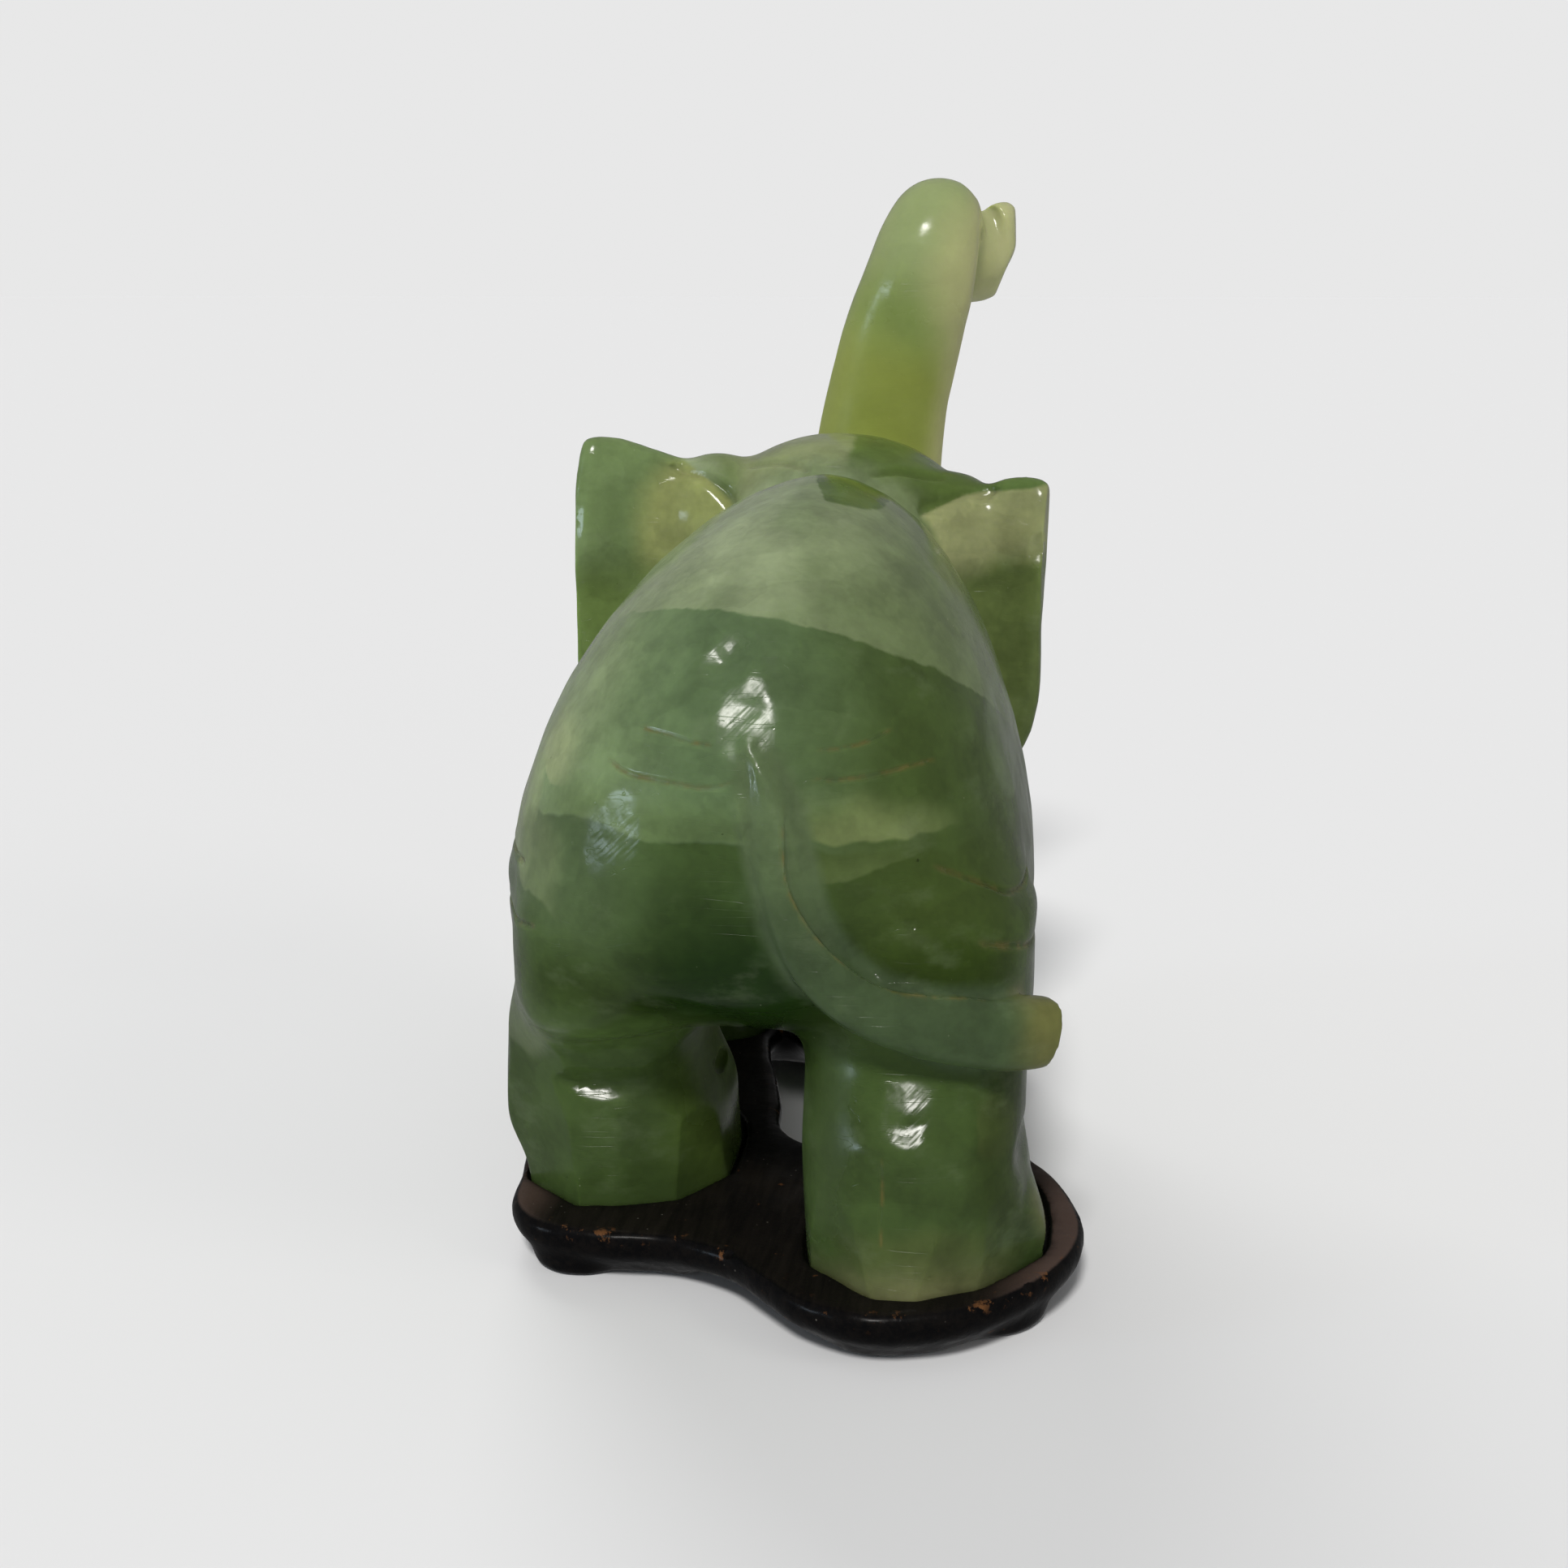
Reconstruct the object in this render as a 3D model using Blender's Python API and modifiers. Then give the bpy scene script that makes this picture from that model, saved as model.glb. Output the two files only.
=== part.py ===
"""A jade elephant with its trunk raised, walking on a carved wooden stand.

The elephant is one carved stone and the stand is one piece of wood. The elephant faces -Y, +X is its
left, +Z is up, and the table it stands on is z = 0. All sizes here are millimetres; MM turns them into
metres when a mesh is made. The carving's own X and Y start at the centre plane of the head, between the
legs, and CARVING_SHIFT moves them so that the origin lies under the middle of the whole object.
"""

import math

import bmesh
import bpy
import numpy as np
from mathutils import Vector

MM = 0.001

CARVING_SHIFT = np.array([3.15, 24.35, 0.0])

DECK_Z = 9.5  # top of the wooden stand
SOCKET_DEPTH = 1.6  # how deep the feet stand in the wood
FOOT_GAP = 0.35  # clearance between the soles and the wood below them
SOCKET_GAP = 0.6  # clearance between the feet and the sockets' walls

# The stone block's sides, which flatten the thighs and the belly.
LEFT_SIDE_X = 43.2
RIGHT_SIDE_X = -44.2

# The back's ridge leans to the elephant's right as it rises.
SPINE_LEAN = -6.2
SPINE_LEAN_FROM_Z = 58.0
SPINE_TOP_Z = 123.5

# Fineness of the faceted elephant.
RING_POINTS = 40
VOXEL = 1.15
FILLET_PASSES = 26
POLISH_PASSES = 3
ELEPHANT_TRIANGLES = 7100

JADE = (0.23, 0.42, 0.20, 1.0)
BLACK_WOOD = (0.035, 0.026, 0.022, 1.0)

# Body sections: y, left half width, right half width, bottom z, widest z, top z.
BODY = [
    (59.6, 7.0, 7.0, 66.0, 75.0, 83.0),
    (57.6, 16.0, 17.0, 56.0, 68.0, 91.0),
    (51.5, 27.5, 28.8, 48.5, 63.0, 101.0),
    (41.0, 35.5, 37.2, 43.5, 60.0, 110.5),
    (27.0, 40.5, 41.4, 41.0, 58.5, 118.5),
    (8.0, 42.8, 42.4, 39.0, 58.5, 123.0),
    (-12.0, 41.5, 41.5, 34.5, 60.0, 123.0),
    (-32.0, 37.0, 37.0, 36.0, 62.0, 118.0),
    (-50.0, 32.0, 32.0, 41.0, 66.0, 112.0),
    (-66.0, 24.0, 24.0, 50.0, 72.0, 104.0),
    (-74.0, 14.0, 14.0, 60.0, 76.0, 96.0),
]
BODY_MIDDLE_X = -0.8

# Legs from sole to hip: z, x, y, half width, half length.
LEGS = {
    "right_hind_leg": [
        (5.0, -28.4, 33.6, 18.4, 25.8),
        (12.0, -28.0, 33.6, 18.4, 25.6),
        (19.0, -26.8, 34.6, 17.6, 24.4),
        (27.0, -26.2, 36.6, 17.2, 22.0),
        (33.0, -26.2, 36.4, 17.1, 21.0),
        (39.0, -26.2, 34.8, 17.1, 19.6),
        (45.0, -26.4, 31.8, 17.4, 20.8),
        (52.0, -26.4, 29.0, 17.8, 24.0),
        (62.0, -26.0, 26.0, 17.6, 26.4),
        (74.0, -23.0, 20.0, 16.0, 26.0),
        (84.0, -17.0, 14.0, 12.0, 20.0),
    ],
    "left_hind_leg": [
        (5.0, 22.6, 10.0, 17.0, 24.2),
        (12.0, 23.1, 10.0, 17.0, 24.0),
        (18.0, 24.4, 11.0, 17.1, 23.0),
        (23.0, 26.0, 12.4, 16.4, 22.4),
        (28.0, 26.4, 12.8, 16.6, 20.6),
        (33.0, 26.1, 12.4, 16.2, 18.4),
        (40.0, 25.4, 13.6, 15.4, 19.0),
        (48.0, 24.2, 17.0, 15.8, 23.0),
        (58.0, 24.0, 19.0, 16.8, 26.0),
        (68.0, 22.5, 17.0, 16.6, 26.6),
        (78.0, 19.0, 13.5, 14.5, 24.0),
        (86.0, 14.0, 10.0, 12.0, 20.0),
    ],
    "right_front_leg": [
        (5.0, -20.5, -54.5, 15.0, 18.0),
        (12.0, -20.5, -54.5, 15.0, 17.8),
        (20.0, -20.5, -53.5, 14.2, 16.0),
        (34.0, -20.5, -52.0, 13.6, 14.6),
        (52.0, -21.5, -49.0, 15.2, 17.4),
        (66.0, -21.0, -46.0, 15.4, 19.6),
        (80.0, -17.0, -44.0, 13.0, 18.0),
        (92.0, -12.0, -42.0, 9.0, 13.0),
    ],
    "left_front_leg": [
        (5.0, 24.0, -62.5, 15.4, 18.2),
        (12.0, 24.0, -62.5, 15.4, 18.0),
        (20.0, 23.5, -61.5, 14.6, 16.2),
        (34.0, 23.0, -59.5, 14.0, 14.8),
        (52.0, 22.5, -55.0, 15.4, 17.4),
        (66.0, 21.5, -50.5, 15.6, 19.6),
        (80.0, 17.0, -47.0, 13.0, 18.0),
        (92.0, 12.0, -44.0, 9.0, 13.0),
    ],
}
LEG_ROUNDNESS = 2.25
FOOT_ROUNDNESS = 2.8

# The trunk from the face to its flared mouth: x, y, z, half width, half height.
TRUNK = [
    (-4.0, -70.0, 92.0, 16.0, 16.0),
    (-4.6, -82.0, 94.0, 15.2, 15.0),
    (-6.2, -91.0, 103.0, 14.0, 13.2),
    (-7.8, -94.0, 117.0, 13.2, 12.4),
    (-10.0, -93.0, 131.0, 12.4, 11.6),
    (-12.9, -91.0, 143.0, 12.0, 10.8),
    (-16.2, -89.4, 154.0, 11.2, 10.0),
    (-18.2, -90.2, 161.6, 10.2, 9.6),
    (-19.6, -94.6, 166.0, 8.9, 8.8),
    (-20.7, -100.0, 165.2, 7.8, 8.0),
    (-21.9, -104.0, 162.4, 7.4, 7.8),
]

# The trunk's flared mouth: x, y, z, half width, half height. It is squarer above than below.
TRUNK_MOUTH = [
    (-21.0, -101.0, 164.2, 6.6, 6.8),
    (-22.2, -104.4, 161.8, 7.4, 7.8),
    (-23.4, -107.2, 160.6, 9.2, 9.4),
    (-24.5, -109.6, 160.6, 10.9, 10.4),
    (-25.0, -111.8, 160.8, 11.0, 10.6),
    (-25.2, -113.2, 160.9, 9.8, 9.6),
]
MOUTH_HOLLOW = ((-25.6, -119.0, 161.2), (9.0, 9.5, 8.8))  # centre and radii of the dished end

# The tail from the rump's ridge to its cut end: x, y, z, half width, half thickness.
TAIL = [
    (-2.9, 52.0, 95.5, 1.6, 1.4),
    (-4.2, 55.6, 90.0, 2.8, 2.6),
    (-5.6, 57.8, 84.5, 3.2, 3.0),
    (-6.9, 58.6, 79.0, 3.4, 3.1),
    (-8.1, 58.5, 72.7, 3.6, 3.2),
    (-9.7, 57.8, 66.6, 3.9, 3.5),
    (-12.3, 57.0, 61.2, 4.3, 3.8),
    (-16.0, 56.6, 57.0, 4.7, 4.1),
    (-20.9, 56.4, 53.9, 5.0, 4.4),
    (-26.3, 55.8, 52.1, 5.4, 4.7),
    (-32.5, 53.8, 50.2, 6.0, 4.9),
    (-39.0, 51.0, 48.6, 6.0, 4.8),
    (-43.6, 48.6, 47.8, 5.8, 4.6),
    (-46.4, 47.0, 47.4, 5.4, 4.3),
]

TUSKS = {
    "left_tusk": [
        (8.5, -78.0, 88.0, 4.8, 4.8),
        (11.0, -88.0, 85.5, 4.0, 4.0),
        (13.0, -97.0, 86.5, 3.1, 3.1),
        (13.5, -104.0, 90.5, 2.0, 2.0),
        (13.4, -106.5, 93.0, 1.2, 1.2),
    ],
    "right_tusk": [
        (-16.5, -78.0, 87.5, 4.8, 4.8),
        (-19.0, -88.0, 85.0, 4.0, 4.0),
        (-21.0, -97.0, 86.0, 3.1, 3.1),
        (-21.5, -104.0, 90.0, 2.0, 2.0),
        (-21.4, -106.5, 92.5, 1.2, 1.2),
    ],
}

# Eyes as low bumps: centre and radii.
EYES = [((18.0, -77.0, 101.0), (4.6, 5.2, 3.4)), ((-26.2, -77.0, 100.5), (4.6, 5.2, 3.4))]
EYE_HEIGHT = 1.6

# Ears seen from behind: their outline as (x, z).
EAR_OUTLINES = {
    "left_ear": [
        (6.0, 108.0),
        (14.0, 115.4),
        (20.0, 118.4),
        (25.3, 121.4),
        (30.7, 123.4),
        (36.4, 125.3),
        (40.6, 125.4),
        (43.4, 123.2),
        (44.8, 118.5),
        (46.1, 111.0),
        (46.7, 101.0),
        (46.8, 92.0),
        (46.2, 84.0),
        (44.4, 76.0),
        (41.0, 69.0),
        (36.0, 64.0),
        (30.0, 62.5),
        (24.0, 66.0),
        (18.0, 73.0),
        (12.0, 83.0),
        (7.0, 96.0),
    ],
    "right_ear": [
        (-13.0, 104.0),
        (-19.0, 108.5),
        (-25.3, 112.0),
        (-29.0, 115.8),
        (-32.4, 117.8),
        (-36.5, 119.4),
        (-41.4, 119.4),
        (-44.0, 117.6),
        (-44.2, 112.0),
        (-44.4, 104.0),
        (-43.5, 97.0),
        (-43.0, 91.0),
        (-43.0, 84.0),
        (-42.6, 77.0),
        (-41.0, 70.0),
        (-36.6, 63.0),
        (-30.0, 61.0),
        (-24.5, 64.0),
        (-19.0, 71.0),
        (-15.0, 80.0),
        (-12.5, 92.0),
    ],
}
EAR_ROOT_Y = -60.0
EAR_RIM_Y = -48.0
EAR_RIM_X = 45.0
EAR_CURL = 3.0  # how far the top and bottom bend forward
EAR_HALF_THICKNESS = 3.9


def clear_scene():
    for obj in list(bpy.data.objects):
        bpy.data.objects.remove(obj)


def collection(name):
    made = bpy.data.collections.new(name)
    bpy.context.scene.collection.children.link(made)
    return made


def material(name, colour, roughness, subsurface=0.0):
    made = bpy.data.materials.new(name)
    made.use_nodes = True
    shader = made.node_tree.nodes["Principled BSDF"]
    shader.inputs["Base Color"].default_value = colour
    shader.inputs["Roughness"].default_value = roughness
    shader.inputs["Metallic"].default_value = 0.0
    shader.inputs["Subsurface Weight"].default_value = subsurface
    made.diffuse_color = colour
    return made


def between(before, start, end, after, t):
    """A point of a Catmull-Rom curve, t from start to end."""
    return 0.5 * (
        2 * start
        + (end - before) * t
        + (2 * before - 5 * start + 4 * end - after) * t**2
        + (3 * start - before - 3 * end + after) * t**3
    )


def smooth_rows(rows, steps):
    """Rows of numbers with smooth rows added between them."""
    rows = np.array(rows, float)
    padded = np.vstack([2 * rows[0] - rows[1], rows, 2 * rows[-1] - rows[-2]])
    made = []
    for i in range(len(rows) - 1):
        for t in np.arange(steps) / steps:
            made.append(between(*padded[i : i + 4], t))
    made.append(rows[-1])
    return np.array(made)


def smooth_loop(points, steps):
    """A closed smooth curve through (x, y) points."""
    points = np.array(points, float)
    made = []
    for i in range(len(points)):
        four = [points[(i + k) % len(points)] for k in (-1, 0, 1, 2)]
        for t in np.arange(steps) / steps:
            made.append(between(*four, t))
    return np.array(made)


def superellipse(power_up, power_down, count=RING_POINTS):
    """Points of a unit superellipse, with its own power above and below the middle."""
    angle = np.arange(count) * 2 * math.pi / count
    across, up = np.cos(angle), np.sin(angle)
    power = np.where(up >= 0, power_up, power_down)
    return (
        np.sign(across) * np.abs(across) ** (2 / power),
        np.sign(up) * np.abs(up) ** (2 / power),
    )


def new_object(name, bm):
    mesh = bpy.data.meshes.new(name)
    bm.to_mesh(mesh)
    bm.free()
    return bpy.data.objects.new(name, mesh)


def skin(name, rings):
    """A closed mesh through rings of the same count, with flat ends."""
    bm = bmesh.new()
    rows = [[bm.verts.new(Vector(p) * MM) for p in ring] for ring in rings]
    for low, high in zip(rows, rows[1:]):
        for i in range(len(low)):
            j = (i + 1) % len(low)
            bm.faces.new((low[i], low[j], high[j], high[i]))
    bm.faces.new(rows[0])
    bm.faces.new(rows[-1])
    bmesh.ops.recalc_face_normals(bm, faces=bm.faces)
    return new_object(name, bm)


def tube(name, stations, power=2.0, power_down=None, across=(1.0, 0.0, 0.0)):
    """A tube through (x, y, z, half width, half height) rows. across is the width's direction."""
    rows = smooth_rows(stations, 5)
    centres = rows[:, :3]
    along = np.gradient(centres, axis=0)
    along /= np.linalg.norm(along, axis=1)[:, None]
    unit_across, unit_up = superellipse(power, power_down or power)
    rings = []
    for centre, direction, (half_width, half_height) in zip(centres, along, rows[:, 3:5]):
        up = np.cross(direction, across)
        up /= np.linalg.norm(up)
        side = np.cross(up, direction)
        rings.append(
            centre
            + np.outer(unit_across * half_width, side)
            + np.outer(unit_up * half_height, up)
        )
    return skin(name, rings)


def ellipsoid(name, centre, radii):
    bm = bmesh.new()
    bmesh.ops.create_uvsphere(bm, u_segments=32, v_segments=20, radius=1.0)
    bmesh.ops.scale(bm, vec=Vector(radii) * MM, verts=bm.verts)
    bmesh.ops.translate(bm, vec=Vector(centre) * MM, verts=bm.verts)
    return new_object(name, bm)


def body():
    """Egg-shaped sections with a leaning, pointed back."""
    unit_across, unit_up = superellipse(1.78, 2.2)
    rings = []
    for y, left, right, bottom, widest, top in smooth_rows(BODY, 4):
        z = widest + np.where(unit_up >= 0, top - widest, widest - bottom) * unit_up
        rise = np.clip((z - SPINE_LEAN_FROM_Z) / (SPINE_TOP_Z - SPINE_LEAN_FROM_Z), 0, 1)
        half = np.where(unit_across >= 0, left, right)
        x = BODY_MIDDLE_X + half * unit_across + SPINE_LEAN * rise**2.5
        rings.append(np.column_stack([x, np.full_like(x, y), z]))
    return skin("body", rings)


def leg(name):
    """A column with level rings; its outer side stays inside the stone block."""
    rings = []
    for z, x, y, half_width, half_length in smooth_rows(LEGS[name], 4):
        foot = np.clip((34.0 - z) / 20.0, 0, 1)
        power = LEG_ROUNDNESS + (FOOT_ROUNDNESS - LEG_ROUNDNESS) * foot
        unit_across, unit_up = superellipse(power, power)
        ring_x = x + half_width * unit_across
        ring_y = y + half_length * unit_up
        rings.append(np.column_stack([ring_x, ring_y, np.full_like(ring_x, z)]))
    return skin(name, rings)


def head():
    """The skull, temples, cheeks and jaw, as overlapping rounded masses."""
    skull = [
        (-3.0, -44.0, 96.0, 16.0, 12.0),
        (-3.5, -50.0, 99.0, 23.0, 22.0),
        (-3.8, -60.0, 101.0, 27.0, 25.2),
        (-4.0, -71.0, 100.0, 25.0, 24.0),
        (-4.0, -81.0, 97.0, 19.0, 18.0),
        (-4.0, -87.0, 95.0, 12.0, 11.0),
    ]
    jaw = [
        (-4.0, -58.0, 82.0, 14.0, 12.0),
        (-4.0, -70.0, 79.0, 12.0, 9.0),
        (-4.0, -82.0, 77.0, 8.5, 5.0),
        (-4.0, -92.0, 76.5, 4.6, 2.8),
        (-4.0, -96.0, 77.5, 2.4, 1.6),
    ]
    return [
        tube("skull", skull, power=2.2),
        tube("jaw", jaw),
        ellipsoid("left_temple", (19.0, -59.0, 110.0), (11.5, 12.0, 12.6)),
        ellipsoid("right_temple", (-26.0, -58.0, 107.0), (10.0, 12.0, 12.4)),
        ellipsoid("left_cheek", (12.0, -72.0, 90.0), (11.0, 15.0, 14.0)),
        ellipsoid("right_cheek", (-20.0, -72.0, 89.0), (11.0, 15.0, 14.0)),
    ]


def ear(name):
    """A thick plate with the ear's outline; it sweeps back and its top and bottom curl forward."""
    outline = smooth_loop(EAR_OUTLINES[name], 3)
    middle = outline.mean(axis=0)
    middle_z = (outline[:, 1].max() + outline[:, 1].min()) / 2
    half_z = (outline[:, 1].max() - outline[:, 1].min()) / 2
    rings = []
    # Rings run from the middle of the front face, round the rim, to the middle of the back face.
    for angle in np.linspace(0.04, math.pi - 0.04, 19):
        reach = math.sin(angle) ** 0.45
        flat = middle + (outline - middle) * reach
        side = math.copysign(abs(math.cos(angle)) ** 0.45, math.cos(angle))
        sweep = np.clip((np.abs(flat[:, 0]) - 8.0) / (EAR_RIM_X - 8.0), 0, 1.1)
        y = EAR_ROOT_Y + (EAR_RIM_Y - EAR_ROOT_Y) * sweep
        y -= EAR_CURL * ((flat[:, 1] - middle_z) / half_z) ** 2
        y -= EAR_HALF_THICKNESS * side
        rings.append(np.column_stack([flat[:, 0], y, flat[:, 1]]))
    return skin(name, rings)


def joined(name, objects):
    """One object that holds all of these meshes; the objects themselves are removed."""
    bm = bmesh.new()
    for obj in objects:
        bm.from_mesh(obj.data)
        bpy.data.objects.remove(obj)
    return new_object(name, bm)


def fused(obj, voxel):
    """The object with its overlapping masses made one closed skin of small even faces."""
    bpy.context.scene.collection.objects.link(obj)
    remesh = obj.modifiers.new("one_stone", "REMESH")
    remesh.mode = "VOXEL"
    remesh.voxel_size = voxel * MM
    graph = bpy.context.evaluated_depsgraph_get()
    mesh = bpy.data.meshes.new_from_object(obj.evaluated_get(graph), depsgraph=graph)
    name = obj.name
    bpy.data.objects.remove(obj)
    return bpy.data.objects.new(name, mesh)


def read_vertices(mesh, what="co"):
    values = np.empty(len(mesh.vertices) * 3)
    mesh.vertices.foreach_get(what, values)
    return values.reshape(-1, 3)


def write_vertices(mesh, points):
    mesh.vertices.foreach_set("co", points.ravel())
    mesh.update()


def read_edges(mesh):
    pairs = np.empty(len(mesh.edges) * 2, dtype=np.int64)
    mesh.edges.foreach_get("vertices", pairs)
    return pairs.reshape(-1, 2)


def neighbour_mean(points, pairs, counts):
    total = np.zeros_like(points)
    for k in range(3):
        total[:, k] += np.bincount(pairs[:, 0], points[pairs[:, 1], k], len(points))
        total[:, k] += np.bincount(pairs[:, 1], points[pairs[:, 0], k], len(points))
    return total / counts[:, None]


def soften(obj, passes, hollows, bumps):
    """Smooths the skin, with one strength for hollows, which fills creases, and one for bumps."""
    mesh = obj.data
    pairs = read_edges(mesh)
    counts = np.bincount(pairs.ravel(), minlength=len(mesh.vertices)).astype(float)
    points = read_vertices(mesh)
    for _ in range(passes):
        normals = read_vertices(mesh, "normal")
        move = neighbour_mean(points, pairs, counts) - points
        hollow = np.sum(move * normals, axis=1) > 0
        points = points + move * np.where(hollow, hollows, bumps)[:, None]
        write_vertices(mesh, points)


def press_flat(obj, point, normal, softness, centre, reach):
    """Pushes what stands out past a plane back onto it, softly, within reach of a centre."""
    points = read_vertices(obj.data) / MM
    normal = np.array(normal, float)
    normal /= np.linalg.norm(normal)
    past = (points - np.array(point, float)) @ normal
    push = softness * np.logaddexp(0.0, past / softness)
    away = np.linalg.norm((points - np.array(centre, float)) / np.array(reach, float), axis=1)
    fade = np.clip((1.0 - away) / 0.15, 0, 1)
    points -= np.outer(push * fade, normal)
    write_vertices(obj.data, points * MM)


def swell(obj, centre, radii, height):
    """Raises a rounded bump, or sinks one where the height is below zero."""
    points = read_vertices(obj.data) / MM
    normals = read_vertices(obj.data, "normal")
    away = np.linalg.norm((points - np.array(centre, float)) / np.array(radii, float), axis=1)
    points += normals * (height * np.clip(1.0 - away**2, 0, 1) ** 1.5)[:, None]
    write_vertices(obj.data, points * MM)


def hollow(obj, centre, radii):
    """Presses a dish into the skin, in the shape of an ellipsoid."""
    points = read_vertices(obj.data) / MM
    from_centre = (points - np.array(centre, float)) / np.array(radii, float)
    away = np.linalg.norm(from_centre, axis=1)
    inside = away < 1.0
    pushed = np.array(centre) + from_centre / np.maximum(away, 1e-6)[:, None] * np.array(radii)
    points[inside] = pushed[inside]
    write_vertices(obj.data, points * MM)


def block(name, low, high, into):
    """A hidden box cutter between two corners."""
    bm = bmesh.new()
    bmesh.ops.create_cube(bm, size=1.0)
    size = Vector(high) - Vector(low)
    bmesh.ops.scale(bm, vec=size * MM, verts=bm.verts)
    bmesh.ops.translate(bm, vec=(Vector(low) + size / 2) * MM, verts=bm.verts)
    return hidden(new_object(name, bm), into)


def hidden(obj, into):
    into.objects.link(obj)
    obj.hide_render = True
    obj.display_type = "WIRE"
    return obj


def boolean(obj, operation, other):
    made = obj.modifiers.new(other.name, "BOOLEAN")
    made.operation = operation
    made.object = other


def triangles_of(mesh):
    return sum(len(face.vertices) - 2 for face in mesh.polygons)


def rough_figure():
    """Body, legs, head, trunk and ears as one stone with soft hollows and flat block sides."""
    masses = [body(), tube("trunk", TRUNK, power=2.1), *head()]
    masses += [leg(name) for name in LEGS]
    masses += [ear(name) for name in EAR_OUTLINES]
    figure = fused(joined("rough_figure", masses), VOXEL)
    soften(figure, FILLET_PASSES, hollows=0.6, bumps=0.06)
    press_flat(figure, (LEFT_SIDE_X, 0, 0), (1, 0, 0), 0.4, (43, 12, 60), (30, 56, 60))
    press_flat(figure, (RIGHT_SIDE_X, 0, 0), (-1, 0, 0), 0.4, (-43, 12, 60), (30, 56, 60))
    return figure


def elephant(parts, cutters):
    figure = rough_figure()
    crisp = [tube("tail", TAIL, across=(0.0, 0.0, 1.0))]
    crisp.append(tube("trunk_mouth", TRUNK_MOUTH, power=4.0, power_down=2.1))
    crisp += [tube(name, rows) for name, rows in TUSKS.items()]
    figure = fused(joined("jade_elephant", [figure, *crisp]), VOXEL)
    hollow(figure, *MOUTH_HOLLOW)
    for centre, radii in EYES:
        swell(figure, centre, radii, EYE_HEIGHT)
    soften(figure, POLISH_PASSES, hollows=0.5, bumps=0.4)
    parts.objects.link(figure)
    thin = figure.modifiers.new("facets", "DECIMATE")
    thin.ratio = ELEPHANT_TRIANGLES / triangles_of(figure.data)
    sole_z = DECK_Z - SOCKET_DEPTH + FOOT_GAP
    boolean(figure, "DIFFERENCE", block("below_the_soles", (-90, -150, -30), (90, 150, sole_z), cutters))
    figure.data.materials.append(material("jade", JADE, 0.16, subsurface=0.6))
    return figure


# The stand's deck outline as (x, y), from behind the right hind foot and round by the left side.
DECK_OUTLINE = [
    (-21.6, 65.1),
    (-11.3, 60.9),
    (-4.6, 54.0),
    (2.3, 46.8),
    (12.0, 42.9),
    (24.0, 42.8),
    (33.6, 39.8),
    (38.8, 32.2),
    (40.0, 21.0),
    (42.2, 6.0),
    (41.4, -8.0),
    (37.0, -20.0),
    (34.2, -31.0),
    (37.0, -42.0),
    (42.4, -54.0),
    (43.0, -68.0),
    (36.5, -80.5),
    (24.0, -86.0),
    (11.0, -82.5),
    (-2.0, -76.0),
    (-18.0, -77.0),
    (-30.0, -73.5),
    (-37.5, -64.0),
    (-38.5, -51.0),
    (-33.0, -39.5),
    (-20.0, -34.5),
    (-8.5, -37.5),
    (-1.0, -47.0),
    (4.5, -53.5),
    (8.4, -50.0),
    (7.2, -39.0),
    (4.6, -28.0),
    (2.2, -16.0),
    (0.2, -3.0),
    (-7.0, 4.6),
    (-20.0, 3.6),
    (-32.0, 1.2),
    (-41.0, 2.2),
    (-46.8, 10.6),
    (-50.8, 21.5),
    (-52.2, 32.0),
    (-50.0, 42.5),
    (-44.0, 52.8),
    (-34.0, 61.8),
]

# The stand's side from the deck down: height, and how far it stands outside the deck's edge.
APRON_PROFILE = [(9.5, 0.0), (8.7, 0.5), (6.8, 0.7), (4.6, -0.3), (2.4, -2.8), (0.0, -5.4)]

HOLLOW_DEPTH = 2.4  # the underside is cut away inside its rim
HOLLOW_INSET = 10.0

# Arches through the rim: x, y, direction in degrees, half span, height.
ARCHES = [
    (-3.0, 49.0, 48.0, 17.0, 4.4),
    (41.0, 4.0, 0.0, 13.0, 2.4),
    (35.0, -31.0, 0.0, 10.0, 3.0),
    (6.0, -80.0, 90.0, 13.0, 3.0),
    (-14.0, -37.0, 90.0, 12.0, 2.6),
    (-18.0, 3.4, 90.0, 12.0, 2.6),
]

# Small feet that stand out below the apron: x, y, radius.
FEET = [
    (29.5, 34.5, 8.6),
    (-37.6, 43.4, 11.6),
    (-41.5, 15.0, 7.6),
    (33.5, -67.0, 8.8),
    (-29.0, -61.0, 8.8),
]
FOOT_HEIGHT = 3.2


def outward(curve):
    """Unit normals of a closed curve, pointing out of it."""
    along = np.roll(curve, -1, axis=0) - np.roll(curve, 1, axis=0)
    along /= np.linalg.norm(along, axis=1)[:, None]
    normal = np.column_stack([along[:, 1], -along[:, 0]])
    ahead = np.roll(curve, -1, axis=0)
    area = np.sum(curve[:, 0] * ahead[:, 1] - ahead[:, 0] * curve[:, 1])
    return normal if area > 0 else -normal


def level_rings(curve, profile):
    """The outline repeated at each height of a profile, grown or shrunk by its second number."""
    normal = outward(curve)
    rings = []
    for z, out in profile:
        edge = curve + normal * out
        rings.append(np.column_stack([edge, np.full(len(edge), z)]))
    return rings


def arch(index, x, y, degrees, half_span, height, into):
    """A low lens-shaped tunnel below the rim, running along its direction."""
    unit_across, unit_up = superellipse(2.0, 2.0, 16)
    direction = np.array([math.cos(math.radians(degrees)), math.sin(math.radians(degrees))])
    side = np.array([-direction[1], direction[0]])
    rings = []
    for reach in (-11.0, 11.0):
        middle = np.array([x, y]) + direction * reach
        flat = middle + np.outer(unit_across * half_span, side)
        rings.append(np.column_stack([flat, unit_up * height]))
    return hidden(skin(f"arch_{index}", rings), into)


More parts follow.
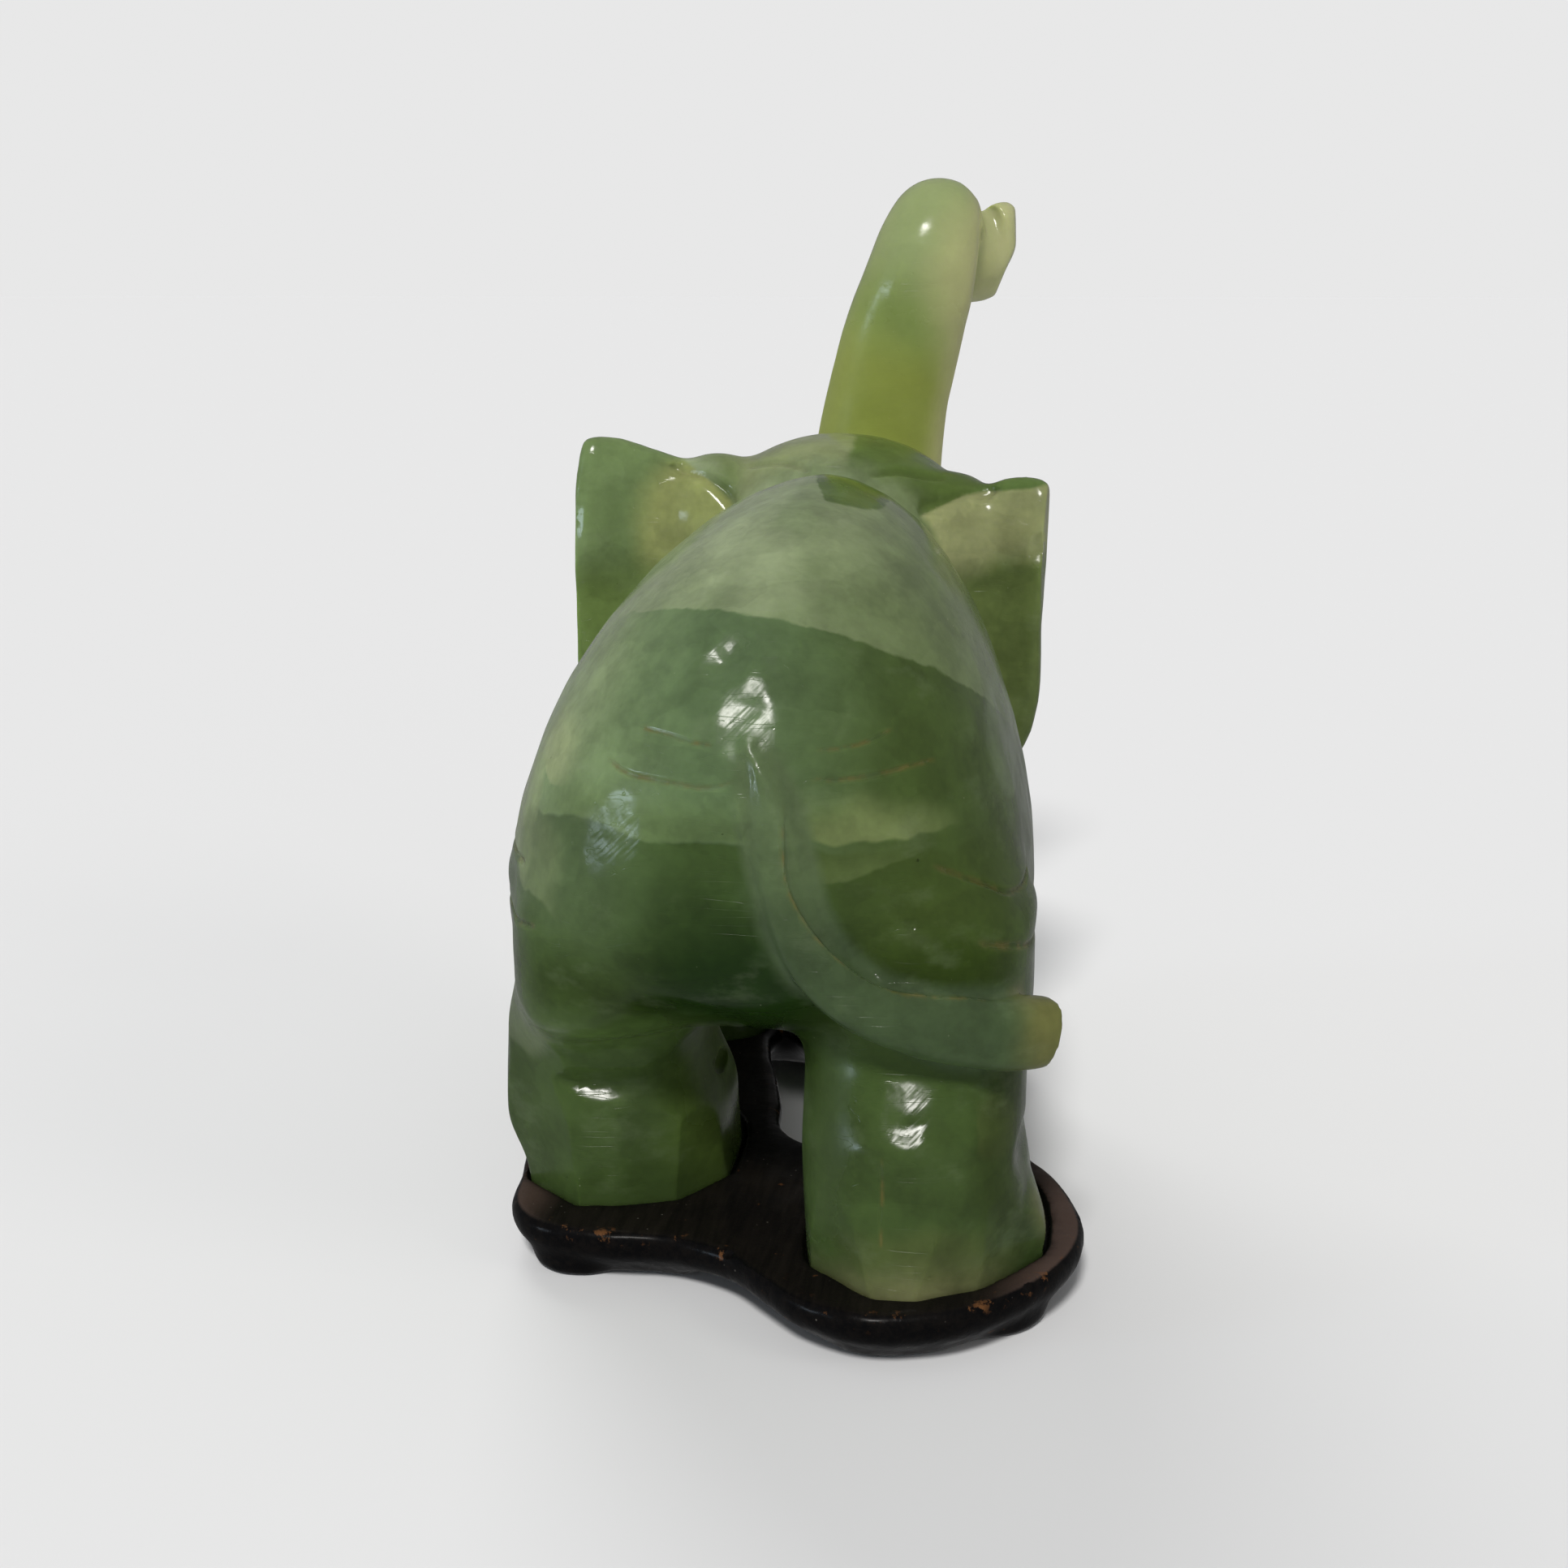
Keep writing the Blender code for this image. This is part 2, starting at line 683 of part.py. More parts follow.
def foot(index, x, y, radius, into):
    """A round foot below the apron, narrower at the table."""
    angle = np.arange(18) * 2 * math.pi / 18
    rings = []
    for z, inset in ((0.0, 0.8), (0.9, 0.0), (FOOT_HEIGHT, 0.4)):
        ring_x = x + (radius - inset) * np.cos(angle)
        ring_y = y + (radius - inset) * np.sin(angle)
        rings.append(np.column_stack([ring_x, ring_y, np.full_like(angle, z)]))
    return hidden(skin(f"foot_{index}", rings), into)


def socket(name, into):
    """The foot's own outline with its clearance, from the socket's floor to above the deck."""
    _, x, y, half_width, half_length = LEGS[name][0]
    unit_across, unit_up = superellipse(FOOT_ROUNDNESS, FOOT_ROUNDNESS, 28)
    rings = []
    for z in (DECK_Z - SOCKET_DEPTH, DECK_Z + 2.0):
        ring_x = x + (half_width + SOCKET_GAP) * unit_across
        ring_y = y + (half_length + SOCKET_GAP) * unit_up
        rings.append(np.column_stack([ring_x, ring_y, np.full_like(ring_x, z)]))
    return hidden(skin(f"{name}_socket", rings), into)


def stand(parts, cutters):
    """The wooden stand: a waisted deck, a rounded apron with low arches, and a socket for each foot."""
    curve = smooth_loop(DECK_OUTLINE, 2)
    base = skin("wooden_stand", level_rings(curve, APRON_PROFILE))
    parts.objects.link(base)
    hollow = level_rings(curve[::2], [(-2.0, -HOLLOW_INSET), (HOLLOW_DEPTH, -HOLLOW_INSET)])
    boolean(base, "DIFFERENCE", hidden(skin("hollow", hollow), cutters))
    for i, row in enumerate(FEET):
        boolean(base, "UNION", foot(i + 1, *row, cutters))
    for i, row in enumerate(ARCHES):
        boolean(base, "DIFFERENCE", arch(i + 1, *row, cutters))
    for name in LEGS:
        boolean(base, "DIFFERENCE", socket(name, cutters))
    base.data.materials.append(material("black_wood", BLACK_WOOD, 0.38))
    return base


def main():
    clear_scene()
    parts = collection("jade_elephant_figurine")
    cutters = collection("cutters")
    elephant(parts, cutters)
    stand(parts, cutters)
    for obj in bpy.data.objects:
        obj.location += Vector(CARVING_SHIFT) * MM
    cutters.hide_render = True


main()
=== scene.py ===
# A polished jade elephant with its trunk raised, on a black lacquered wooden stand.
#
# The elephant faces -Y, +X is its left and +Z is up. Sizes are millimetres in the carving's own frame,
# whose X and Y start at the centre plane of the head, between the legs. CARVING_SHIFT moves them to
# the frame's origin and MM turns them into metres. Where a mark's place is read off the photograph, it
# is a pixel of its 1932 x 1932 frame, and seen() finds the point of the stone behind that pixel.

import math
from functools import partial, reduce

import bmesh
import bpy
import numpy as np
from mathutils import Matrix, Vector, noise
from mathutils.bvhtree import BVHTree


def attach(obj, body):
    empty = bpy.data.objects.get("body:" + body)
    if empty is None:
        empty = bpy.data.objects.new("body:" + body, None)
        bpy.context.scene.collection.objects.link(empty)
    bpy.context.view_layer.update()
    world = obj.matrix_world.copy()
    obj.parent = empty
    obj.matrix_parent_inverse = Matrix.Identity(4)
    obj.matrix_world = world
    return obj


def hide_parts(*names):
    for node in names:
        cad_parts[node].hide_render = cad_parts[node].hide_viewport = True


MM = 0.001

CARVING_SHIFT = np.array([3.15, 24.35, 0.0])

DECK_Z = 9.5  # top of the wooden stand
SOCKET_DEPTH = 1.6  # how deep the feet stand in the wood
FOOT_GAP = 0.35  # clearance between the soles and the wood below them
SOCKET_GAP = 0.6  # clearance between the feet and the sockets' walls

# The stone block's sides, which flatten the thighs and the belly.
LEFT_SIDE_X = 43.2
RIGHT_SIDE_X = -44.2
SIDE_SOFTNESS = 0.4

# The back's ridge leans to the elephant's right as it rises.
SPINE_LEAN = -6.2
SPINE_LEAN_FROM_Z = 58.0
SPINE_TOP_Z = 123.5

# Fineness of the first, soft figure.
RING_POINTS = 40
EAR_RINGS = 19
VOXEL = 1.15
FILLET_PASSES = 26

# Fineness and finishing of the visible meshes.
FINE_VOXEL = 0.56
FINE_PASSES = 4
REFINE_REACH = 1.5  # how near a cut line the faces are quartered
STONE_TRIANGLES = 186000
STAND_VOXEL = 0.8  # the stand before its sockets are cut
STAND_PASSES = 14
WOOD_VOXEL = 0.55
WOOD_PASSES = 3
STAND_TRIANGLES = 80000
FLOOR_REACH = 30.0
LIGHT_GAIN = 1.05  # how much brighter than its base colour the stone looks in the studio
GLOSS_SHARE = 0.010  # what the pale studio's reflection adds to the stone's colour
SHARP_ANGLE = 52.0  # degrees; a fold sharper than this shows as an edge

# Body sections: y, left half width, right half width, bottom z, widest z, top z.
BODY = [
    (59.6, 7, 7, 66, 75, 83), (57.6, 16, 17, 56, 68, 91), (51.5, 27.5, 28.8, 48.5, 63, 101),
    (41, 35.5, 37.2, 43.5, 60, 110.5), (27, 40.5, 41.4, 41, 58.5, 118.5), (8, 42.8, 42.4, 39, 58.5, 123),
    (-12, 41.5, 41.5, 34.5, 60, 123), (-32, 37, 37, 36, 62, 118), (-50, 32, 32, 41, 66, 112),
    (-66, 24, 24, 50, 72, 104), (-74, 14, 14, 60, 76, 96),
]
BODY_MIDDLE_X = -0.8
BODY_ROUNDNESS = (1.78, 2.2)  # above and below its widest place

# Legs from sole to hip: z, x, y, half width, half length.
LEGS = {
    "right_hind_leg": [
        (5, -28.4, 33.6, 18.4, 25.8), (12, -28, 33.6, 18.4, 25.6), (19, -26.8, 34.6, 17.6, 24.4),
        (27, -26.2, 36.6, 17.2, 22), (33, -26.2, 36.4, 17.1, 21), (39, -26.2, 34.8, 17.1, 19.6),
        (45, -26.4, 31.8, 17.4, 20.8), (52, -26.4, 30.6, 17.8, 25.6), (62, -26, 28.4, 17.6, 28.8),
        (74, -23, 20, 16, 26), (84, -17, 14, 12, 20),
    ],
    "left_hind_leg": [
        (5, 22.6, 10, 17, 24.2), (12, 23.1, 10, 17, 24), (18, 24.6, 11, 18.6, 23),
        (23, 24.7, 12.4, 18.6, 22.4), (28, 25.6, 12.8, 17.8, 20.6), (33, 26, 14.2, 16.8, 21),
        (40, 24.6, 18.6, 16.2, 25.8), (48, 22.8, 22.4, 15.6, 28.4), (58, 22.4, 23.2, 15.4, 30.4),
        (68, 21.5, 19.6, 15.2, 29.2), (78, 19, 13.5, 14.5, 24), (86, 14, 10, 12, 20),
    ],
    "right_front_leg": [
        (5, -20.5, -54.5, 15, 18), (12, -20.5, -54.5, 15, 17.8), (20, -20.5, -53.5, 14.2, 16),
        (34, -20.5, -52, 13.6, 14.6), (52, -21.5, -49, 15.2, 17.4), (66, -21, -46, 15.4, 19.6),
        (80, -17, -44, 13, 18), (92, -12, -42, 9, 13),
    ],
    "left_front_leg": [
        (5, 24, -62.5, 15.4, 18.2), (12, 24, -62.5, 15.4, 18), (20, 23.5, -61.5, 14.6, 16.2),
        (34, 23, -59.5, 14, 14.8), (52, 22.5, -55, 15.4, 17.4), (66, 21.5, -50.5, 15.6, 19.6),
        (80, 17, -47, 13, 18), (92, 12, -44, 9, 13),
    ],
}
TRUNK_ROUNDNESS = 2.1
SKULL_ROUNDNESS = 2.2
LEG_ROUNDNESS = 2.25
FOOT_ROUNDNESS = 2.8
SQUARE_FROM_Z = 34.0  # a leg turns from one roundness to the other below this
SQUARE_OVER = 20.0
LEFT_HOCK = ((20, 43, 45), (27, 22, 18))  # centre and radii of what is smoothed more
HOCK_PASSES = 140

# Toe nails: their place, size and rise, and their directions from the foot's middle in degrees.
NAIL_Z = 12.4
NAIL_RADII = (3.4, 3.4, 4.2)
NAIL_HEIGHT = 0.6
LEFT_NAILS = (-138, -112, -86, -58)
RIGHT_NAILS = (-122, -94, -68, -42)

# Skull and jaw: x, y, z, half width, half height.
SKULL = [
    (-3, -44, 96, 16, 12), (-3.5, -50, 99, 23, 22), (-3.8, -60, 101, 27, 25.2), (-4, -71, 100, 25, 24),
    (-4, -81, 97, 19, 18), (-4, -87, 95, 12, 11),
]
JAW = [
    (-4, -58, 82, 14, 12), (-4, -70, 79, 12, 9), (-4, -82, 77, 8.5, 5), (-4, -92, 76.5, 4.6, 2.8),
    (-4, -96, 77.5, 2.4, 1.6),
]

# The temples and the cheeks: centre and radii.
HEAD_LUMPS = [
    ((19, -59, 110), (11.5, 12, 12.6)), ((-26, -58, 107), (10, 12, 12.4)),
    ((12, -72, 90), (11, 15, 14)), ((-20, -72, 89), (11, 15, 14)),
]

# The trunk from the face to its flared mouth: x, y, z, half width, half height.
TRUNK = [
    (-4, -70, 92, 16, 16), (-4.6, -82, 94, 15.2, 15), (-6.2, -91, 103, 14, 13.2),
    (-7.8, -94, 117, 13.2, 12.4), (-10, -93, 131, 12.4, 11.6), (-12.9, -91, 143, 12, 10.8),
    (-16.2, -89.4, 154, 11.2, 10), (-18.2, -90.2, 161.6, 10.2, 9.6), (-19.6, -94.6, 166, 8.9, 8.8),
    (-20.7, -100, 165.2, 7.8, 8), (-21.9, -104, 162.4, 7.4, 7.8),
]
TRUNK_MIDDLE = (-14, 0, 137)
TRUNK_TO_RIGHT = (-0.98, 0, -0.21)
TRUNK_RIM_OVER = 16.0  # the painted rim sheen changes across this width

# The trunk's flared mouth: x, y, z, half width, half height. It is squarer above than below.
TRUNK_MOUTH = [
    (-21, -101, 164.2, 6.6, 6.8), (-22.2, -104.4, 161.8, 7.4, 7.8), (-23.4, -107.2, 160.6, 9.2, 9.4),
    (-24.5, -109.6, 160.6, 10.9, 10.4), (-25, -111.8, 160.8, 11, 10.6), (-25.2, -113.2, 160.9, 9.8, 9.6),
]
MOUTH_ROUNDNESS = (4.0, 2.1)  # above and below its widest place
MOUTH_HOLLOW = ((-25.4, -118.6, 160.2), (8.0, 9.0, 7.4))  # centre and radii of the dished end

# The tail from the rump's ridge to its cut end: x, y, z, half width, half thickness.
TAIL = [
    (-4, 54.4, 92, 1.4, 1), (-4.8, 56, 88, 2.8, 2), (-5.9, 57.3, 84, 3.6, 2.8), (-7.3, 58.2, 79, 3.9, 3.1),
    (-8.6, 58.3, 72.7, 4, 3.2), (-10.1, 57.8, 66.4, 4.1, 3.4), (-12.7, 57.2, 60.8, 4.2, 3.6),
    (-16.3, 56.8, 56.4, 4.3, 3.8), (-20.9, 56.4, 53.2, 4.4, 4), (-26.3, 55.6, 51.1, 4.7, 4.2),
    (-32.5, 53.8, 49.4, 5.2, 4.5), (-39, 51, 48.1, 5.4, 4.6), (-43.6, 48.6, 47.6, 5.4, 4.5),
    (-46.4, 47, 47.2, 5.2, 4.2),
]
TAIL_ROUNDNESS = 2.6

TUSKS = {
    "left_tusk": [
        (8.5, -78, 88, 4.8, 4.8), (11, -88, 85.5, 4, 4), (13, -97, 86.5, 3.1, 3.1),
        (13.5, -104, 90.5, 2, 2), (13.4, -106.5, 93, 1.2, 1.2),
    ],
    "right_tusk": [
        (-16.5, -78, 87.5, 4.8, 4.8), (-19, -88, 85, 4, 4), (-21, -97, 86, 3.1, 3.1),
        (-21.5, -104, 90, 2, 2), (-21.4, -106.5, 92.5, 1.2, 1.2),
    ],
}

# Eyes as low bumps: centre and radii.
EYES = [((18.0, -77.0, 101.0), (4.6, 5.2, 3.4)), ((-26.2, -77.0, 100.5), (4.6, 5.2, 3.4))]
EYE_HEIGHT = 1.6
# An eye's upper lid, lower lid and brow: path as (back, up) from its centre, width, depth.
EYE_LINES = [
    ([(5.6, -0.6), (2, 3), (-3, 2.6)], 0.9, 0.5), ([(5, -1.6), (0, -3.4), (-5.4, -0.6)], 0.8, 0.4),
    ([(7, 2.6), (2, 6), (-4, 5.6)], 1.4, 0.4),
]
MOUTH_LINES = [
    ([(6, -92, 79), (12, -84, 79), (15.5, -75, 80.5), (17, -66, 84)], 1.2, 0.6),
    ([(-14, -92, 79), (-20, -84, 79), (-23.5, -75, 80.5), (-25, -66, 84)], 1.2, 0.6),
]

# Ears seen from behind: their outline as (x, z).
EAR_OUTLINES = {
    "left_ear": [
        (6, 108), (14, 115.4), (20, 118.4), (25.3, 121.4), (30.7, 123.4), (36.4, 125.5), (41.6, 126.2),
        (43.9, 125.2), (44.9, 119.6), (46.1, 111), (46.7, 101), (46.8, 92), (46.2, 84), (44.4, 76),
        (41, 69), (36, 64), (30, 62.5), (24, 66), (18, 73), (12, 83), (7, 96),
    ],
    "right_ear": [
        (-13, 104), (-19, 108.5), (-25.3, 112), (-29, 115.8), (-32.4, 117.8), (-36.5, 119.4),
        (-41.4, 119.4), (-44, 117.6), (-44.2, 112), (-44.4, 104), (-43.5, 97), (-43, 91), (-43, 84),
        (-42.6, 77), (-41, 70), (-36.6, 63), (-30, 61), (-24.5, 64), (-19, 71), (-15, 80), (-12.5, 92),
    ],
}
# Where each ear meets the head, seen from behind: height, and distance from the centre plane.
EAR_ROOTS = {
    "left": [(109, 12), (111, 13), (114.4, 15), (118, 19.2), (121.6, 25), (123.4, 26.4)],
    "right": [(107, 14), (109, 15), (112, 18.5), (115.6, 26.9), (118, 31.5), (119, 33)],
}
EAR_FRONT_Y = -60.0
EAR_BACK_Y = -43.4
EAR_LOW_Z = 62.0
EAR_ROOT_X = 8.0
EAR_ROOT_Y = -60.0
EAR_RIM_Y = -48.0
EAR_RIM_X = 45.0
EAR_CURL = 3.0  # how far the top and bottom bend forward
EAR_HALF_THICKNESS = 3.9
EAR_EDGE = 0.45  # how square the rim is, from 1 for round to 0 for square

# The stand's deck outline as (x, y), from behind the right hind foot and round by the left side.
DECK_OUTLINE = [
    (-21.6, 65.1), (-11.3, 60.9), (-4.6, 54), (2.3, 46.8), (12, 42.9), (24, 42.8), (33.6, 39.8),
    (38.8, 32.2), (40, 21), (42.2, 6), (41.4, -8), (37, -20), (34.2, -31), (37, -42), (42.4, -54),
    (43, -68), (36.5, -80.5), (24, -86), (11, -82.5), (-2, -76), (-18, -77), (-30, -73.5), (-37.5, -64),
    (-38.5, -51), (-33, -39.5), (-20, -34.5), (-8.5, -37.5), (-1, -47), (4.5, -53.5), (8.4, -50),
    (7.2, -39), (4.6, -28), (2.2, -16), (0.2, -3), (-7, 4.6), (-20, 3.6), (-32, 1.2), (-41, 2.2),
    (-46.8, 10.6), (-50.8, 21.5), (-52.2, 32), (-50, 42.5), (-44, 52.8), (-34, 61.8),
]

# The stand's side from the deck down: height, and how far it stands outside the deck's edge.
APRON_PROFILE = [(9.5, 0.0), (8.7, 0.5), (6.8, 0.7), (4.6, -0.3), (2.4, -2.8), (0.0, -5.4)]

HOLLOW_DEPTH = 2.4  # the underside is cut away inside its rim
HOLLOW_INSET = 10.0

# Arches through the rim: x, y, direction in degrees, half span, height.
ARCHES = [
    (-3, 49, 48, 17, 4.4), (41, 4, 0, 13, 2.4), (35, -31, 0, 10, 3), (6, -80, 90, 13, 3),
    (-14, -37, 90, 12, 2.6), (-18, 3.4, 90, 12, 2.6),
]
ARCH_REACH = 11.0  # half an arch's length

# Small feet that stand out below the apron: x, y, radius.
FEET = [(27.5, 33, 8.2), (-37.2, 43, 10.4), (-41.5, 15, 7.6), (33.5, -67, 8.8), (-29, -61, 8.8)]
FOOT_PROFILE = [(0.0, 1.2), (0.5, 0.5), (1.4, 0.2), (5.4, 0.0)]  # height, and how far it is inset

# Nicks in the stand's edges: centre and radii of the ball that bites.
NICKS = [
    ((27, 43.8, 8.9), (1.6, 1.2, 0.9)), ((1.6, 47.8, 9.4), (1.2, 1.2, 1)),
    ((-45.5, 52.6, 9.2), (1.6, 1.4, 0.8)), ((-52.8, 27, 9), (1.2, 1.8, 0.9)), ((42.6, 8, 8.6), (1, 2.2, 1)),
    ((43.8, -60, 8.8), (1.2, 1.8, 0.9)), ((-38.9, -58, 9), (1.2, 1.6, 0.9)),
]

# The camera behind the elephant, as the photograph's perspective gives it.
PHOTO_PIXELS = 1932
FOCAL_PIXELS = 2600.0
SENSOR_MM = 36.0
CAMERA_PLACE = np.array([-46.04, 342.25, 153.70])
CAMERA_TURN = math.radians(7.5)
CAMERA_PITCH = math.radians(13.3)
CAMERA_RIGHT = np.array([-math.cos(CAMERA_TURN), -math.sin(CAMERA_TURN), 0.0])
CAMERA_AHEAD = np.array(
    [
        math.sin(CAMERA_TURN) * math.cos(CAMERA_PITCH),
        -math.cos(CAMERA_TURN) * math.cos(CAMERA_PITCH),
        -math.sin(CAMERA_PITCH),
    ]
)
CAMERA_UP = np.cross(CAMERA_RIGHT, CAMERA_AHEAD)

# The hind soles' corners on the deck, as (x, y), from the left round the back to the right.
SOLES = {
    "left_hind_leg": [(37.1, 25.1), (28, 33.2), (21.3, 32.3), (12.9, 29), (6.5, 18.8)],
    "right_hind_leg": [(-10.3, 48.2), (-21.8, 59), (-27.7, 59.5), (-37.2, 53.9), (-45.1, 43.1)],
}
SOLE_LEAN = -0.12  # how the flats above the soles' edges lean out as they rise
SOLE_REACH = (22, 22, 44)
SOLE_SOFTNESS = 0.08

# Lines cut into the skin: path, width, depth. A path's points are pixels (x, y) or places (x, y, z).
FOLDS = [
    ([(784, 895), (816, 903), (852, 914), (880, 919)], 0.7, 0.2),
    ([(745, 931), (770, 951), (797, 959), (830, 965), (875, 971), (908, 962)], 0.8, 0.26),
    ([(1004, 925), (1041, 921), (1073, 912), (1102, 896)], 0.7, 0.2),
    ([(993, 961), (1041, 960), (1087, 953), (1123, 943), (1158, 934)], 0.8, 0.24),
    ([(1144, 1064), (1178, 1077), (1215, 1089), (1243, 1099), (-43.6, 33, 66.5), (-44, 20, 67.5)], 1, 0.45),
    ([(1200, 1162), (1240, 1165), (-43.4, 38, 58), (-44, 24, 57.5), (-44, 12, 59)], 1.3, 0.4),
    ([(648, 1064), (638, 1054), (40.6, 28, 68.5), (43, 14, 69)], 1.2, 0.5),
    ([(662, 1142), (645, 1138), (634, 1128), (40.8, 30, 60), (43, 16, 58.5)], 1, 0.45),
    ([(1087, 1424), (1087, 1477), (1085, 1550)], 0.5, 0.1),
    ([(41, -26, 88), (41.5, -20, 76), (42, -20, 64), (41, -24, 54)], 1.3, 0.4),
    ([(42, -14, 80), (42.5, -11, 70), (42.5, -13, 60)], 1.1, 0.3),
    ([(-41, -26, 86), (-41.5, -20, 74), (-42, -20, 62), (-41, -24, 53)], 1.3, 0.4),
    ([(-42, -14, 78), (-42.5, -11, 68), (-42.5, -13, 59)], 1.1, 0.3),
    ([(43, 4, 47), (43, -8, 45), (41, -18, 46)], 1.1, 0.3),
    ([(-43, 4, 46), (-43, -8, 44), (-41, -18, 45)], 1.1, 0.3),
]

# A cut line's profile: its half width and its lips' spread and height, as shares of width and depth.
CUT_WIDTH = 0.42
LIP_SPREAD = 0.18
LIP_HEIGHT = 0.08

# Clean creases where the ears and the dome meet the head: path, width, depth.
HEAD_CREASES = [
    ([(26.4, -52, 123.4), (25, -50, 121.6), (19.2, -50, 118), (15, -50, 114.4), (13, -48, 111)], 2.8, 1.1),
    ([(14, -52, 124), (11, -50, 122.4), (3.2, -48, 119.6), (-1, -46, 118)], 1.8, 0.6),
    ([(-25, -52, 121.4), (-22, -50, 120.6), (-15.4, -48, 119.7), (-9, -46, 117)], 2, 0.8),
    ([(-33, -52, 119), (-31.5, -50, 118), (-26.9, -50, 115.6), (-18.5, -50, 112), (-15, -48, 109)], 2.8, 1),
]

# The body is cut back along the tail's upper side: path, width, depth.
TAIL_UNDERCUT = (
    [
        (966, 985), (966, 1035), (969, 1082), (983, 1119), (1007, 1154), (1044, 1189), (1090, 1216),
        (1142, 1226), (1197, 1229), (1250, 1232),
    ],
    4, 0.9,
)
UNDERCUT_EDGE = 0.6  # how far the cut's upper edge rounds over

# Low crests: path, width, height.
CRESTS = [
    ([(917, 895), (923, 925), (931, 945), (938, 975)], 1.8, 0.5),
    ([(906, 960), (911, 1000), (918, 1035), (927, 1070)], 1.6, 0.5),
    ([(834, 966), (875, 977), (906, 968)], 1.2, 0.14), ([(982, 772), (986, 795), (990, 818)], 0.9, 0.14),
    ([(1096, 390), (1102, 364), (1111, 336), (1124, 308)], 3, 0.4),
    ([(640, 1317), (680, 1314), (722, 1327), (757, 1343), (800, 1345)], 3, 0.4),
]

# Flat facets left by the wheel: a point, the outward normal, and the facet's centre and reach.
FACETS = [
    ((-1, 53.4, 98), (-0.05, 0.879, 0.473), (1.5, 54, 96), (9.5, 13, 10)),
    ((0.6, 47.5, 103.4), (-0.06, 0.879, 0.473), (2.8, 48.2, 103.4), (7.5, 9, 7)),
    ((16.4, 55.8, 77.4), (0.467, 0.869, 0.162), (16.4, 56, 77.4), (7, 7, 8)),
    ((-26, 55.6, 36.8), (-0.018, 0.822, 0.57), (-26, 56, 36.5), (9, 9, 11)),
    ((25.4, 32.4, 30.2), (-0.092, 0.82, 0.565), (25, 33, 30), (9, 9, 6)),
    ((-20.2, -80.8, 164.4), (-0.017, 0.922, 0.387), (-20.2, -81, 164.4), (6, 7, 9.5)),
    ((-25, -108, 170.3), (0, 0, 1), (-25, -108, 170), (24, 16, 7)),
    ((-30.5, -108, 169.7), (0.45, 0, 0.89), (-27, -110, 170), (10, 9, 8)),
    ((-34.6, -108, 165), (-1, 0, 0.05), (-35, -108, 165), (8, 16, 14)),
    ((-32.2, -108, 155.3), (-0.93, 0, -0.36), (-33, -108, 153), (13, 16, 14)),
    ((43.6, -46.5, 110), (0.446, 0.886, 0.127), (43.7, -46.1, 110), (4, 4, 8)),
    ((-42.4, -46.9, 104.7), (0.011, 0.89, 0.455), (-42.4, -46.6, 104.7), (3, 4, 5.5)),
    ((45.4, -50, 100), (1, 0.18, 0), (46, -50, 100), (7, 18, 46)),
    ((-43.2, -50, 104), (-1, 0.18, 0), (-44, -50, 104), (7, 18, 28)),
]
FACET_SOFTNESS = 0.16
FACET_EDGE = 0.7

# Rounded swellings and dents: centre, radii, height.
SWELLINGS = [
    ((19.6, -54, 119), (10, 9, 6), 0.9), ((-23.4, -53.5, 117), (9, 8, 6), 0.9),
    ((0.5, -51, 122), (14, 10, 7), 0.7), ((33, -46, 100), (11, 6, 22), -1.3),
    ((-33, -46, 96), (10, 6, 20), -1.2), ((24.9, 33, 27), (10, 5, 4.5), 0.6),
    ((33.5, 31, 36), (7, 6, 6), 0.5), ((-26, 58.5, 31.4), (11, 5, 4.2), 0.9),
    ((-46.6, 39, 15.8), (7, 12, 6.4), 2), ((-44.6, 40, 26.5), (5, 12, 5), -1.2),
    ((-44.6, 32, 62), (6, 16, 3.6), 0.7), ((41, 32, 64), (6, 12, 3.4), 0.6),
    ((0, -10, 36), (24, 40, 6), 0.9), ((21, -92, 76), (6, 10, 5), 0.5),
]

# Where the wheel left the skin uneven: centre, radii, wavelength and height of the dents.
RIPPLED = [
    ((-1, 52, 99), (9, 14, 14), 3.6, 0.26), ((-1, 52, 99), (9, 14, 14), 1.6, 0.06),
    ((1, 47.5, 104), (7, 10, 8), 1.9, 0.14), ((-3.6, 57, 92), (4, 6, 6), 3, 0.2),
    ((16.3, 56, 77.5), (7, 7, 7), 3.2, 0.3), ((-26, 56, 36.5), (4.5, 6, 6), 2.8, 0.22),
    ((21, 32, 33), (9, 6, 6), 2.8, 0.16), ((-19.5, -82, 162), (3.5, 6, 6), 3, 0.1),
]
RIPPLE_SEED = 2.9

# Uneven waves all over the stone and the wood: wavelength, height, seed.
STONE_WAVES = [(13.0, 0.22, 3.7), (5.5, 0.07, 11.3)]
WOOD_WAVES = [(9.0, 0.16, 5.1), (2.6, 0.05, 8.3)]
EVERYWHERE = ((0, 0, 80), (900, 900, 900))  # centre and radii of an ellipsoid around everything

# Chips and notches: centre and radii of the ball that bites into the edge.
CHIPS = [
    ((7.2, 13, 27.6), (2.2, 6, 1.6)), ((-46.8, 44, 20.6), (2.4, 2.6, 2.2)),
    ((-46.2, 48, 79.5), (2, 3, 1.4)), ((-44.4, -44.6, 113.2), (1.6, 1.6, 1.8)),
    ((-43.2, -43.8, 83.5), (1.6, 1.8, 1.5)), ((47.2, -43.4, 84), (1.3, 1.6, 1.8)),
    ((-45, 30, 66.2), (1.4, 9, 0.9)), ((-45, 32, 57.9), (1.3, 9, 0.8)), ((41.6, 30, 68.2), (1.6, 7, 0.8)),
    ((41.6, 31, 59.9), (1.2, 7, 0.7)),
]

